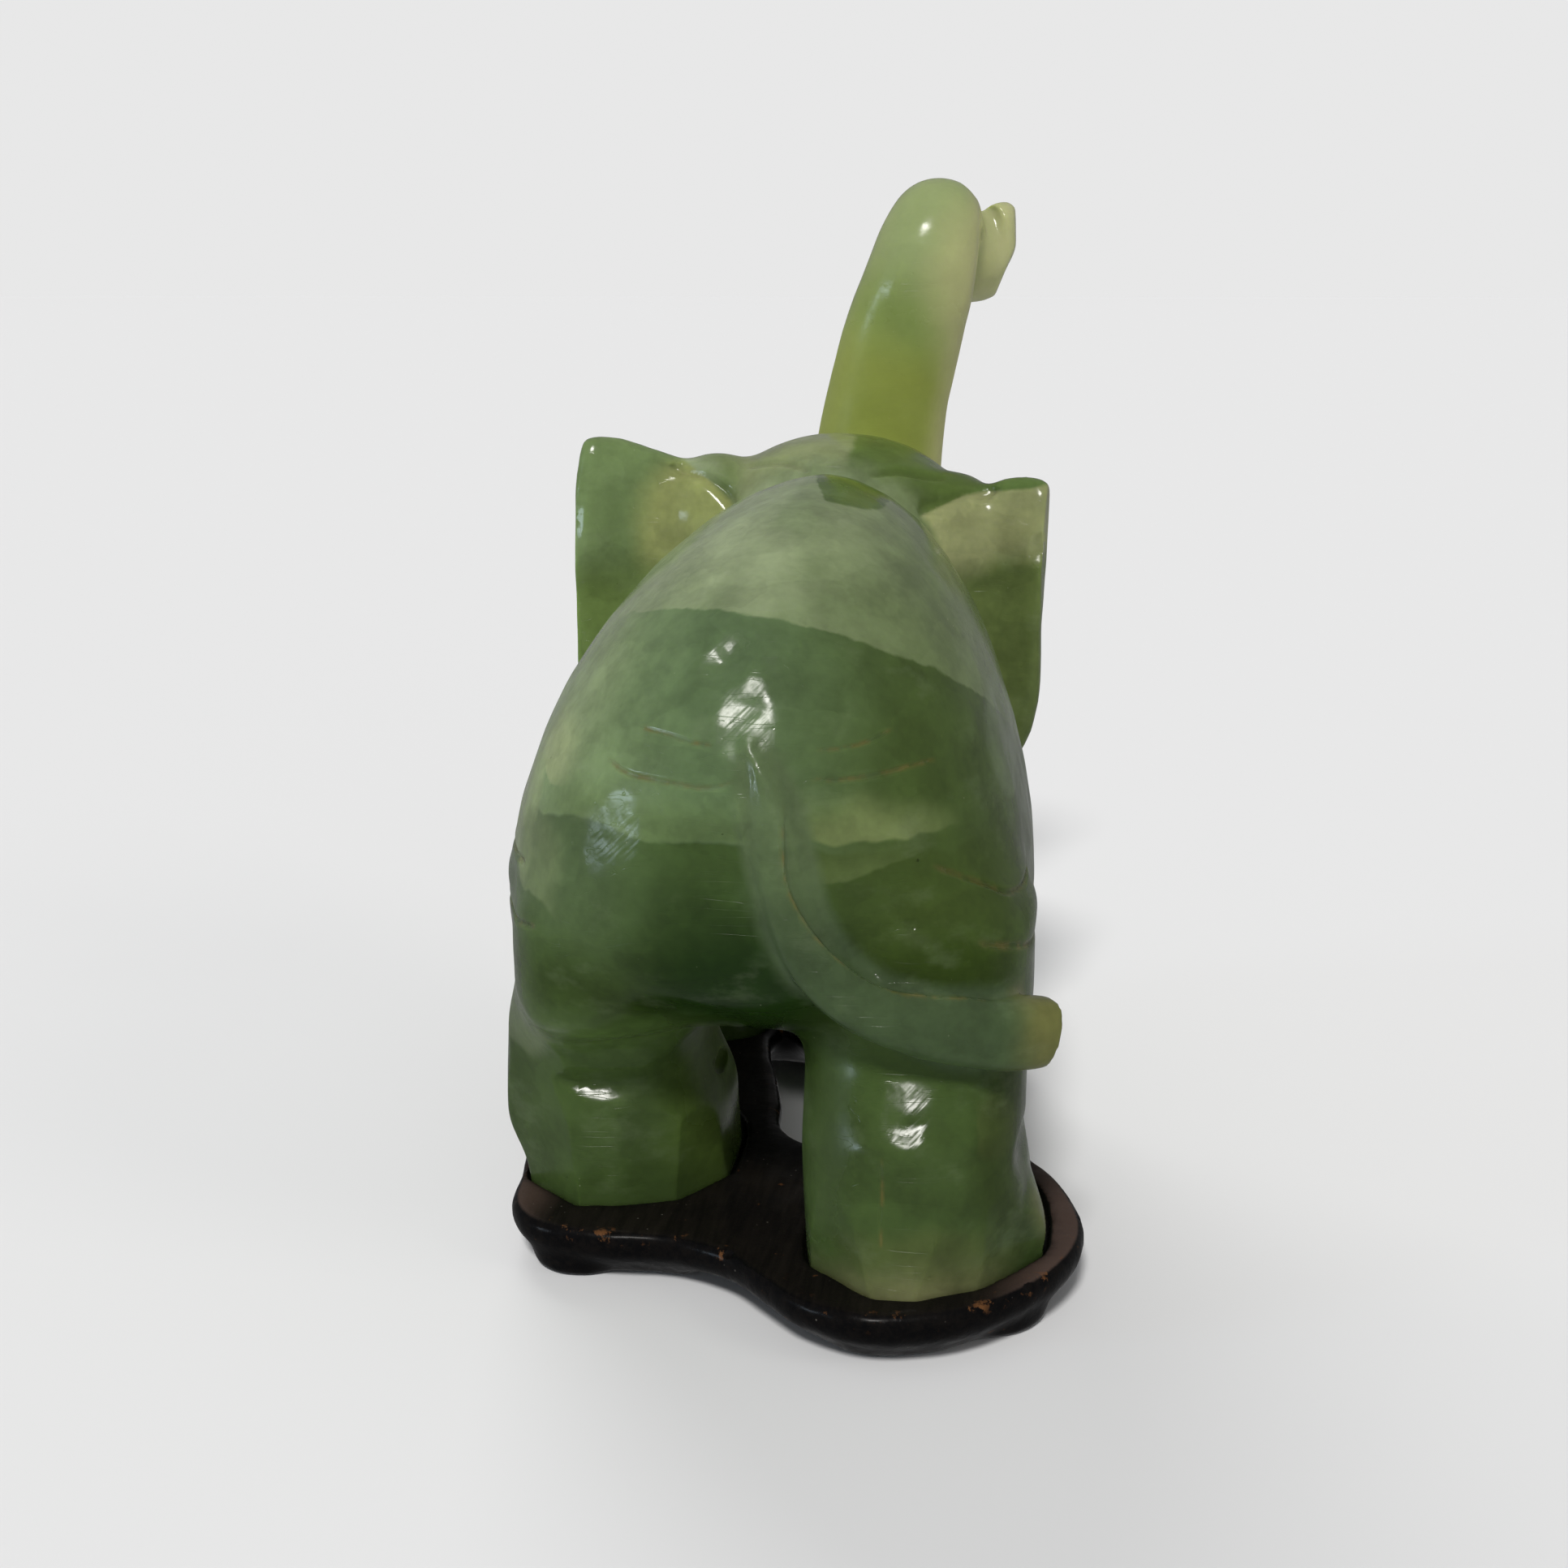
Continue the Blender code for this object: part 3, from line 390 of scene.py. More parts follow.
# How a layer's share is measured: a plane or a ball, with its edge and border, or a stored number.
TO_RIGHT = ("above", (-14, 0, 0), (-1, 0, 0), 14)
TO_LEFT = ("above", (14, 0, 0), (1, 0, 0), 12)
VEIL = ("above", (-1.5, 44.2, 107.6), (-0.18, -0.38, 0.91), 0.3, "fine")
STREAKS = ("streaks", 16, (1, 0.5, 1.6), 0.3, 0.7)
ON_TRUNK = [("read", "on_trunk"), ("above", (0, 0, 104), (0, 0, 1), 5)]

# The stone's layers from the back up: screen tone, strength, what it covers, and its own layers.
BACK_TONE = (90, 109, 77)
BACK_LAYERS = [
    ((118, 137, 99), 1, [TO_LEFT]),
    ((67, 82, 46), 1, [TO_RIGHT]),
    # The deep green below has a sharp, wandering upper border.
    (
        (64, 82, 45), 0.9, [("above", (0, 57, 77.5), (0.04, 0.08, -1), 0.5)],
        [((75, 91, 62), 1, [TO_LEFT]), ((63, 77, 42), 1, [TO_RIGHT])],
    ),
    # Painted shade: the stone is darker below z 60, where the underside is shaded.
    ((58, 75, 35), 0.85, [("above", (0, 0, 60), (0, 0, -1), 10)]),
    ((68, 84, 50), 0.9, [("above", (0, 0, 38), (0, 0, -1), 8)]),
    # Painted shade: darkest between the hind legs, under the rump.
    ((35, 50, 9), 0.9, [("ball", (-1, 50, 54), (15, 26, 15), 0.6)]),
    # The pale veil over the back has a sharp lower border and a fainter sheet above it.
    ((116, 130, 97), 0.95, [VEIL], [((134, 146, 114), 1, [STREAKS]), ((98, 112, 77), 1, [TO_RIGHT])]),
    ((146, 158, 126), 0.3, [("above", (4, 37, 110.5), (0.75, 0.05, 0.66), 0.5, "fine"), VEIL]),
]

# Clouds in the stone: colour, centre, radii, edge, strength, and a plane that ends them sharply.
CLOUDS = [
    ((126, 141, 105), (37, 30, 98), (20, 36, 18), 0.3, 0.85, ((26, 48, 82.6), (-0.05, 0, 1))),
    ((144, 156, 114), (33, 42, 86), (9, 12, 6), 0.5, 0.85, ((26, 48, 82.6), (-0.05, 0, 1))),
    ((132, 146, 106), (37, 38, 76), (7.5, 14, 12), 0.1, 0.85, ((33, 42, 66.5), (-0.5, 0, 1))),
    ((104, 118, 84), (31, 46, 70), (7.5, 10, 8), 0.3, 0.8, ((30, 46, 65), (-0.35, 0, 1))),
    ((90, 108, 68), (6, 54, 79), (26, 14, 4), 0.9, 0.65, ((5, 58, 78), (0, 0, 1))),
    ((110, 122, 80), (-21, 56, 78.5), (12, 9, 3.4), 0.9, 0.85, ((-20, 57, 78.2), (0.03, 0, 1))),
    ((84, 98, 60), (-19, 57, 73.5), (8, 8, 3.2), 0.9, 0.85, ((-18, 57, 73), (0.28, 0, 1))),
    ((70, 90, 42), (-13, 2.5, 123.2), (9.5, 14, 5.2), 0.05, 0.95, ((-7.2, 2, 123), (-0.98, -0.2, 0))),
    ((92, 111, 54), (4, 14, 26), (10, 22, 18), 0.6, 0.8, None),
    ((86, 107, 62), (22, 40, 41), (19, 12, 8), 0.5, 0.75, None),
    ((76, 94, 58), (-26, 54, 42), (17, 8, 7), 0.5, 0.4, None),
    ((48, 62, 24), (-33, 56, 57), (11, 9, 6), 0.5, 0.7, None),
    ((104, 115, 86), (38, 32, 42), (9, 14, 8), 0.12, 0.6, ((33, 36, 49.5), (0.55, 0, -1))),
    ((80, 90, 54), (-39, 51, 34), (4.5, 7, 4.5), 0.3, 0.6, ((-36.4, 52, 34), (-1, 0, 0.2))),
    ((116, 118, 84), (-30, 58, 8), (18, 10, 5), 0.8, 0.9, None),
    ((84, 92, 56), (-29, 58, 16), (12, 8, 3.4), 0.5, 0.5, None),
    ((46, 56, 20), (-41, 46, 28), (7, 12, 14), 0.4, 0.6, None),
    ((106, 110, 72), (-47.5, 42, 19), (3, 8, 6), 0.4, 0.6, None),
    ((96, 112, 74), (34, -10, 70), (8, 20, 14), 0.1, 0.5, None),
    ((104, 120, 88), (-40, 6, 84), (12, 26, 10), 0.1, 0.5, ((-40, 6, 80), (0, 0.2, 1))),
    ((120, 134, 104), (20, -60, 60), (16, 16, 18), 0.2, 0.5, None),
    ((112, 128, 86), (-22, -52, 24), (14, 14, 16), 0.2, 0.5, None),
]

# The head, the ears, the trunk and the tail.
PART_LAYERS = [
    (
        (122, 131, 94), 0.9, [("ball", (-4, -66, 104), (37, 25, 31), 0.06, "fine")],
        [
            ((82, 100, 52), 1, [("above", (-8, -50, 110), (-1, 0, 0.1), 1)]),
            # Painted shade: the left temple is dark olive in the crease beside the ear's edge.
            ((84, 104, 58), 0.8, [("ball", (21, -54, 116), (7.5, 14, 7), 0.35)]),
        ],
    ),
    # The right ear is pale above, dark below. The left is pale and yellow inside, greener at its rim.
    (
        (140, 145, 104), 0.95, [("read", "on_ear")],
        [
            ((88, 108, 62), 1, [("above", (-36, 0, 117), (0.1, 0, 1), 0.5, "fine")]),
            ((84, 99, 57), 0.9, [("above", (0, 0, 97), (-0.2, 0, -1), 3)]),
            (
                (104, 123, 82), 1, [("above", (0, 0, 0), (1, 0, 0), 1, "even")],
                [
                    ((136, 143, 92), 1, [("ball", (16, -48, 108), (17, 16, 20), 0.2)]),
                    ((100, 120, 66), 0.8, [("above", (0, 0, 101), (0, 0, -1), 5)]),
                ],
            ),
        ],
    ),
    # The trunk's yellow-green, paler towards its top and its mouth, is partly its own colour and partly
    # painted glow of light shining through it. Its pale sides are a painted sheen.
    (
        (136, 147, 72), 0.95, ON_TRUNK,
        [
            ((124, 141, 80), 1, [("above", (0, 0, 145), (-0.3, 0, 1), 6)]),
            ((142, 155, 108), 1, [("above", (0, 0, 158), (-0.3, 0, 1), 8)]),
            # A painted pale sheen along the trunk's sides.
            ((172, 171, 122), 1, [("read", "at_trunk_rim")]),
            ((176, 176, 128), 0.7, [("ball", (-25, -84, 152), (6, 14, 15), 0.7)]),
            ((172, 174, 130), 1, [("above", (0, -101, 0), (0, -1, 0), 3)]),
            ((138, 149, 102), 0.3, [("ball", (-29, -106, 163), (3, 6, 8), 0.4)]),
        ],
    ),
    (
        (88, 103, 74), 0.9, [("read", "on_tail")],
        [
            ((72, 87, 62), 1, [("above", (0, 0, 70), (0, 0, -1), 10)]),
            ((104, 105, 66), 1, [("ball", (-47, 47, 47.5), (9, 9, 9), 0.35)]),
        ],
    ),
]

# Where the wheel left fine hatching: centre and radii.
HATCHED = [
    ((-0.5, 52, 99), (6, 13, 11)), ((-4, 57, 92.5), (2.2, 6, 6)), ((21, 31, 34), (8, 8, 3)),
    ((-26, 56, 36), (4, 8, 5.5)), ((16, 56, 77.5), (5, 8, 4)),
]

# What is duller than the rest: added roughness, and what it covers.
DULL = [
    (0.3, [*ON_TRUNK, ("above", (0, 0, 146), (0, 0, -1), 12, "even")]),
    (0.28, [("ball", (-12, 48, 34), (6, 14, 20), 0.5, "even")]),
    (0.28, [("ball", (7, 16, 36), (6, 22, 16), 0.5, "even")]),
]

JADE_CONSTANTS = {
    "Subsurface Weight": 0.55,
    "Subsurface Radius": (0.8, 1.0, 0.45),
    "Subsurface Scale": 3.2 * MM,
    "IOR": 1.56,
    "Specular IOR Level": 0.17,
}
WOOD_CONSTANTS = {"Specular IOR Level": 0.04, "Coat Weight": 0.05, "Coat Roughness": 0.16}

# A window-like key behind the camera, cool and warm fills beside it, and a fill on the face: name,
# direction, energy, width in degrees, colour, and whether the stone reflects it.
LAMPS = [
    ("key", (0.03, 0.68, 0.73), 2.5, 11.0, (1.0, 0.97, 0.93), True),
    ("cool_side", (0.90, 0.42, 0.10), 0.45, 12.0, (0.70, 0.85, 1.0), True),
    ("warm_side", (-0.85, 0.30, 0.55), 0.28, 20.0, (1.0, 0.95, 0.88), False),
    ("low_fill", (-0.45, 0.85, 0.05), 0.40, 30.0, (1.0, 1.0, 1.0), False),
    ("front", (0.35, -0.75, 0.60), 1.1, 30.0, (1.0, 0.98, 0.95), False),
]
WORLD_LIGHT = 0.24  # the world's strength as a light
WORLD_SEEN = 0.806  # and as the background of the picture


def between(before, start, end, after, t):
    """A point of a Catmull-Rom curve, t from start to end."""
    return 0.5 * (
        2 * start
        + (end - before) * t
        + (2 * before - 5 * start + 4 * end - after) * t**2
        + (3 * start - before - 3 * end + after) * t**3
    )


def smooth_rows(rows, steps, closed=False):
    """Rows of numbers with smooth rows added between them, also past the last of a closed loop."""
    rows = np.array(rows, float)
    first, last = (rows[-1], rows[:2]) if closed else (2 * rows[0] - rows[1], 2 * rows[-1] - rows[-2])
    padded = np.vstack([first, rows, last])
    starts = range(len(padded) - 3)
    made = [between(*padded[i : i + 4], t) for i in starts for t in np.arange(steps) / steps]
    return np.array(made if closed else made + [rows[-1]])


def unit(vectors):
    return vectors / np.linalg.norm(vectors, axis=-1, keepdims=True)


def eased(share):
    """0 to 1 with a gentle start and end, held outside that range."""
    share = np.clip(share, 0, 1)
    return share * share * (3 - 2 * share)


def bell(distance):
    """1 at no distance, falling off on both sides."""
    return np.exp(-(distance**2))


def squared(value, power):
    """A superellipse's coordinate for a circle's."""
    return np.sign(value) * np.abs(value) ** (2 / power)


def superellipse(power_up, power_down=None, count=RING_POINTS):
    """Points of a unit superellipse, with its own power above and below the middle."""
    angle = np.arange(count) * 2 * math.pi / count
    across, up = np.cos(angle), np.sin(angle)
    power = np.where(up >= 0, power_up, power_down or power_up)
    return squared(across, power), squared(up, power)


def ring(x, y, z):
    """Points from their coordinates, one number where they share it."""
    return np.column_stack(np.broadcast_arrays(x, y, z))


def new_object(name, bm):
    mesh = bpy.data.meshes.new(name)
    bm.to_mesh(mesh)
    bm.free()
    return bpy.data.objects.new(name, mesh)


def skin(name, rings):
    """A closed mesh through rings of the same count, with flat ends."""
    bm = bmesh.new()
    rows = [[bm.verts.new(Vector(p) * MM) for p in points] for points in rings]
    for low, high in zip(rows, rows[1:]):
        for i in range(len(low)):
            j = (i + 1) % len(low)
            bm.faces.new((low[i], low[j], high[j], high[i]))
    bm.faces.new(rows[0])
    bm.faces.new(rows[-1])
    bmesh.ops.recalc_face_normals(bm, faces=bm.faces)
    return new_object(name, bm)


def tube(name, stations, power=2.0, power_down=None, across=(1, 0, 0)):
    """A tube through (x, y, z, half width, half height) rows. across is the width's direction."""
    rows = smooth_rows(stations, 5)
    centres = rows[:, :3]
    unit_across, unit_up = superellipse(power, power_down)
    rings = []
    for centre, along, (width, height) in zip(centres, unit(np.gradient(centres, axis=0)), rows[:, 3:]):
        up = unit(np.cross(along, across))
        side = np.cross(up, along)
        rings.append(centre + np.outer(unit_across * width, side) + np.outer(unit_up * height, up))
    return skin(name, rings)


def ellipsoid(name, centre, radii):
    bm = bmesh.new()
    bmesh.ops.create_uvsphere(bm, u_segments=32, v_segments=20, radius=1.0)
    bmesh.ops.scale(bm, vec=Vector(radii) * MM, verts=bm.verts)
    bmesh.ops.translate(bm, vec=Vector(centre) * MM, verts=bm.verts)
    return new_object(name, bm)


def body():
    """Egg-shaped sections with a leaning, pointed back."""
    unit_across, unit_up = superellipse(*BODY_ROUNDNESS)
    rings = []
    for y, left, right, bottom, widest, top in smooth_rows(BODY, 4):
        z = widest + np.where(unit_up >= 0, top - widest, widest - bottom) * unit_up
        lean = SPINE_LEAN * np.clip((z - SPINE_LEAN_FROM_Z) / (SPINE_TOP_Z - SPINE_LEAN_FROM_Z), 0, 1) ** 2.5
        x = BODY_MIDDLE_X + np.where(unit_across >= 0, left, right) * unit_across + lean
        rings.append(ring(x, y, z))
    return skin("body", rings)


def leg(name):
    """A column with level rings, squarer towards the foot."""
    rings = []
    for z, x, y, half_width, half_length in smooth_rows(LEGS[name], 4):
        low = np.clip((SQUARE_FROM_Z - z) / SQUARE_OVER, 0, 1)
        unit_across, unit_up = superellipse(LEG_ROUNDNESS + (FOOT_ROUNDNESS - LEG_ROUNDNESS) * low)
        rings.append(ring(x + half_width * unit_across, y + half_length * unit_up, z))
    return skin(name, rings)


def ear(name):
    """A thick plate with the ear's outline; it sweeps back and its top and bottom curl forward."""
    outline = smooth_rows(EAR_OUTLINES[name], 3, closed=True)
    middle = outline.mean(axis=0)
    low, high = outline[:, 1].min(), outline[:, 1].max()
    rings = []
    # Rings run from the middle of the front face, round the rim, to the middle of the back face.
    for angle in np.linspace(0.04, math.pi - 0.04, EAR_RINGS):
        flat = middle + (outline - middle) * math.sin(angle) ** EAR_EDGE
        side = math.copysign(abs(math.cos(angle)) ** EAR_EDGE, math.cos(angle))
        sweep = np.clip((np.abs(flat[:, 0]) - EAR_ROOT_X) / (EAR_RIM_X - EAR_ROOT_X), 0, 1.1)
        y = EAR_ROOT_Y + (EAR_RIM_Y - EAR_ROOT_Y) * sweep - EAR_HALF_THICKNESS * side
        y -= EAR_CURL * ((2 * flat[:, 1] - low - high) / (high - low)) ** 2
        rings.append(ring(flat[:, 0], y, flat[:, 1]))
    return skin(name, rings)


def joined(name, objects):
    """One object that holds all of these meshes; the objects themselves are removed."""
    bm = bmesh.new()
    for obj in objects:
        bm.from_mesh(obj.data)
        bpy.data.objects.remove(obj)
    return new_object(name, bm)


def with_modifier(obj, kind, **settings):
    """The object as the modifier leaves it."""
    bpy.context.scene.collection.objects.link(obj)
    made = obj.modifiers.new(kind.lower(), kind)
    for setting, value in settings.items():
        setattr(made, setting, value)
    graph = bpy.context.evaluated_depsgraph_get()
    mesh = bpy.data.meshes.new_from_object(obj.evaluated_get(graph), depsgraph=graph)
    name = obj.name
    bpy.data.objects.remove(obj)
    return bpy.data.objects.new(name, mesh)


def fused(obj, voxel):
    """The object with its overlapping masses made one closed skin of small even faces."""
    return with_modifier(obj, "REMESH", mode="VOXEL", voxel_size=voxel * MM)


def thinned(obj, triangles):
    """The object with about so many triangles, most of them where it curves most."""
    now = sum(len(face.vertices) - 2 for face in obj.data.polygons)
    return with_modifier(obj, "DECIMATE", ratio=triangles / now)


def cut_by(obj, other):
    """The object with another cut out of it, which is removed."""
    bpy.context.scene.collection.objects.link(other)
    made = with_modifier(obj, "BOOLEAN", operation="DIFFERENCE", object=other)
    bpy.data.objects.remove(other)
    return made


def cut_level(obj, z):
    """Cuts the object off flat below a height."""
    bm = bmesh.new()
    bm.from_mesh(obj.data)
    parts = [*bm.verts, *bm.edges, *bm.faces]
    plane = {"plane_co": (0, 0, z * MM), "plane_no": (0, 0, 1)}
    made = bmesh.ops.bisect_plane(bm, geom=parts, dist=1e-7, clear_inner=True, **plane)
    rim = [part for part in made["geom_cut"] if isinstance(part, bmesh.types.BMEdge)]
    caps = bmesh.ops.holes_fill(bm, edges=rim)["faces"]
    bmesh.ops.triangulate(bm, faces=caps)
    bm.to_mesh(obj.data)
    bm.free()


def read_vertices(mesh, what="co"):
    values = np.empty(len(mesh.vertices) * 3, np.float32)
    mesh.vertices.foreach_get(what, values)
    return values.reshape(-1, 3).astype(float)


def write_vertices(mesh, points):
    mesh.vertices.foreach_set("co", points.ravel().astype(np.float32))
    mesh.update()


def sculpt(obj, brush, *settings):
    """Moves the vertices to where brush(points, *settings) puts them, in millimetres."""
    write_vertices(obj.data, brush(read_vertices(obj.data) / MM, *settings) * MM)


def relieve(obj, relief, *settings):
    """Raises the skin along its normals by relief(points, *settings) in millimetres."""
    points, normals = read_vertices(obj.data) / MM, read_vertices(obj.data, "normal")
    write_vertices(obj.data, (points + normals * relief(points, *settings)[:, None]) * MM)


def away(points, centre, radii):
    """The distance from an ellipsoid's centre, 1 at its skin."""
    return np.linalg.norm((points - np.array(centre, float)) / np.array(radii, float), axis=1)


def within(points, centre, radii, edge=0.5):
    """1 in the middle of an ellipsoid, falling to 0 at its skin over a share of its radii."""
    return eased((1.0 - away(points, centre, radii)) / edge)


def soften(obj, passes, hollows, bumps, region=EVERYWHERE):
    """Smooths the skin, with one strength for hollows, which fills creases, and one for bumps."""
    mesh = obj.data
    pairs = np.empty(len(mesh.edges) * 2, np.int32)
    mesh.edges.foreach_get("vertices", pairs)
    counts = np.bincount(pairs, minlength=len(mesh.vertices))[:, None]
    start, end = pairs[::2], pairs[1::2]
    points = read_vertices(mesh)
    share = within(points / MM, *region)
    for _ in range(passes):
        total = np.zeros_like(points)
        for here, there in ((start, end), (end, start)):
            for k in range(3):
                total[:, k] += np.bincount(here, points[there, k], len(points))
        move = total / counts - points
        sunken = np.sum(move * read_vertices(mesh, "normal"), axis=1) > 0
        points = points + move * (share * np.where(sunken, hollows, bumps))[:, None]
        write_vertices(mesh, points)


def press_flat(points, point, normal, softness, centre, reach, edge=0.5):
    """Pushes what stands out past a plane back onto it, softly, within reach of a centre."""
    normal = unit(np.array(normal, float))
    past = (points - point) @ normal
    push = softness * np.logaddexp(0.0, past / softness)
    return points - np.outer(push * within(points, centre, reach, edge), normal)


def swelling(points, centre, radii, height):
    """A rounded bump, or a dent where the height is below zero."""
    return height * np.clip(1.0 - away(points, centre, radii) ** 2, 0, 1) ** 1.5


def hollow(points, centre, radii):
    """Presses a dish into the skin, in the shape of an ellipsoid."""
    distance = away(points, centre, radii)[:, None]
    pushed = centre + (points - centre) / np.maximum(distance, 1e-6)
    return np.where(distance < 1.0, pushed, points)


def waves(points, wavelength, height, seed, region=EVERYWHERE):
    """Low uneven waves, as hand polishing leaves them, within an ellipsoid."""
    rise = height * within(points, *region)
    inside = np.flatnonzero(rise)
    rise[inside] *= [noise.noise(p) for p in (points[inside] / wavelength + seed).tolist()]
    return rise


def tree_of(obj):
    """The object's surface in millimetres, for rays and nearest points."""
    points = [Vector(p) for p in read_vertices(obj.data) / MM]
    return BVHTree.FromPolygons(points, [tuple(face.vertices) for face in obj.data.polygons])


def seen(tree, x, y):
    """The place on the surface that the photograph shows at a pixel."""
    middle = PHOTO_PIXELS / 2
    ray = CAMERA_AHEAD * FOCAL_PIXELS + CAMERA_RIGHT * (x - middle) - CAMERA_UP * (y - middle)
    place = tree.ray_cast(Vector(CAMERA_PLACE), Vector(ray))[0]
    if place is None:
        raise ValueError(f"pixel {x}, {y} misses the stone")
    return np.array(place)


def routed(tree, rows):
    """Rows of path, width and depth, with each path as closely spaced places on the surface."""
    made = []
    for path, width, depth in rows:
        places = [seen(tree, *p) if len(p) == 2 else np.array(p, float) for p in path]
        line = [tree.find_nearest(Vector(p))[0] for p in smooth_rows(places, 30)]
        made.append((np.array(line), width, depth))
    return made


def batches(numbers):
    """The numbers in groups small enough to measure at once."""
    return np.array_split(numbers, len(numbers) // 4000 + 1)


def gaps_to(points, places):
    """The distance from each point to each place."""
    return np.linalg.norm(points[:, None] - places[None], axis=2)


def line_distance(points, line, margin):
    """Each point's distance from a line of closely spaced places, and its share along the line."""
    distance, along = np.full(len(points), np.inf), np.zeros(len(points))
    low, high = line.min(axis=0) - margin, line.max(axis=0) + margin
    near = np.flatnonzero(np.all((points > low) & (points < high), axis=1))
    for some in batches(near):
        gaps = gaps_to(points[some], line)
        distance[some] = gaps.min(axis=1)
        along[some] = gaps.argmin(axis=1) / (len(line) - 1)
    return distance, along


def refine(obj, lines, reach):
    """Quarters the faces near the lines."""
    points = read_vertices(obj.data) / MM
    near = np.zeros(len(points), bool)
    for line in lines:
        near |= line_distance(points, line, reach)[0] < reach
    bm = bmesh.new()
    bm.from_mesh(obj.data)
    edges = [edge for edge in bm.edges if near[edge.verts[0].index] and near[edge.verts[1].index]]
    bmesh.ops.subdivide_edges(bm, edges=edges, cuts=1, use_grid_fill=True)
    bm.to_mesh(obj.data)
    bm.free()


def ends_fade(along, share=0.16):
    """Falls to nothing at both ends of a line."""
    return eased(np.minimum(along, 1 - along) / share)


def engraving(points, marks):
    """Lines cut into the surface, each with slightly raised lips."""
    height = np.zeros(len(points))
    for line, width, depth in marks:
        distance, along = line_distance(points, line, 3 * width)
        cut = bell(distance / (CUT_WIDTH * width))
        lip = np.exp(-((distance / width - 1.0) ** 2) / LIP_SPREAD)
        height += depth * ends_fade(along) * (LIP_HEIGHT * lip - cut)
    return height


def crests(points, marks):
    height = np.zeros(len(points))
    for line, width, rise in marks:
        distance, along = line_distance(points, line, 2 * width)
        height += rise * ends_fade(along, 0.4) * bell(distance / (0.5 * width))
    return height


def undercut(obj, line, width, depth):
    """Sinks the surface to the right of a line that runs down it, most of all beside the line."""
    points, normals = read_vertices(obj.data) / MM, read_vertices(obj.data, "normal")
    distance, along = line_distance(points, line, 2.5 * width)
    near = np.flatnonzero(distance < 2.5 * width)
    spot = np.round(along[near] * (len(line) - 1)).astype(int)
    across = unit(np.cross(np.gradient(line, axis=0)[spot], normals[near]))
    left = np.sum(across * (points[near] - line[spot]), axis=1)
    sink = ends_fade(along[near]) * eased(0.5 - left / UNDERCUT_EDGE) * bell(np.minimum(left, 0) / width)
    points[near] -= normals[near] * (depth * sink)[:, None]
    write_vertices(obj.data, points * MM)


def rough_figure():
    """Body, legs, head, trunk and ears as one stone with soft hollows and flat block sides."""
    masses = [body(), tube("trunk", TRUNK, TRUNK_ROUNDNESS), tube("skull", SKULL, SKULL_ROUNDNESS)]
    masses.append(tube("jaw", JAW))
    masses += [ellipsoid("head_lump", *row) for row in HEAD_LUMPS]
    masses += [leg(name) for name in LEGS]
    masses += [ear(name) for name in EAR_OUTLINES]
    figure = fused(joined("rough_figure", masses), VOXEL)
    soften(figure, FILLET_PASSES, hollows=0.6, bumps=0.06)
    for side, x in ((1, LEFT_SIDE_X), (-1, RIGHT_SIDE_X)):
        centre, reach = (43 * side, 12, 60), (30, 56, 60)
        sculpt(figure, press_flat, (x, 0, 0), (side, 0, 0), SIDE_SOFTNESS, centre, reach, 0.2)
    soften(figure, HOCK_PASSES, hollows=0.7, bumps=0.35, region=LEFT_HOCK)
    return with_modifier(figure, "SUBSURF", levels=1, render_levels=1)


def trunk_rings():
    """Folds across the front of the trunk."""
    marks = []
    angle = np.radians(np.linspace(-158, -22, 7))
    for x, y, z, half_width, half_height in smooth_rows(TRUNK, 4)[10:32:2]:
        ring_x = x + 1.02 * half_width * np.cos(angle)
        ring_y = y + 1.02 * half_height * np.sin(angle)
        marks.append((ring(ring_x, ring_y, z - 2.0 * (1 + np.sin(angle))), 2.2, 0.5))
    return marks


def toe_nails():
    """Where the nails stand on the front of each foot: x, y and facing angle."""
    places = []
    for name, rows in LEGS.items():
        _, x, y, half_width, half_length = rows[1]
        for angle in np.radians(LEFT_NAILS if "left" in name else RIGHT_NAILS):
            reach_x = half_width * squared(math.cos(angle), FOOT_ROUNDNESS)
            reach_y = half_length * squared(math.sin(angle), FOOT_ROUNDNESS)
            places.append((x + reach_x, y + reach_y, angle))
    return places


def nail_lines():
    """An arc over each toe nail."""
    turn = np.radians(np.linspace(-10, 190, 7))
    across, up = 3.4 * np.cos(turn), 3.6 * np.sin(turn)
    marks = []
    for x, y, angle in toe_nails():
        arc = ring(x - across * math.sin(angle), y + across * math.cos(angle), NAIL_Z + up)
        marks.append((arc, 0.9, 0.34))
    return marks


def face_lines():
    """Lids and a brow round each eye, and the mouth's two corners."""
    marks = []
    for (x, y, z), _ in EYES:
        out = x + math.copysign(2.0, x + 4.0)
        for path, width, depth in EYE_LINES:
            marks.append(([(out, y + back, z + up) for back, up in path], width, depth))
    return marks + MOUTH_LINES


def ear_lines():
    """Soft folds on the front of each ear."""
    marks = []
    for x_in, x_out in ((20, 41), (-26, -40)):
        for z_in, z_out in ((106, 114), (97, 98), (88, 82)):
            middle = ((x_in + x_out) / 2, -56, (z_in + z_out) / 2 + 2)
            marks.append(([(x_in, -60, z_in), middle, (x_out, -53, z_out)], 2.2, 0.4))
    return marks


def sole_edges(name):
    """Each edge between two corners of a hind sole: its start, its end and its outward normal."""
    corners = np.array(SOLES.get(name, []), float)
    for start, end in zip(corners, corners[1:]):
        yield start, end, unit(np.array([end[1] - start[1], start[0] - end[0]]))


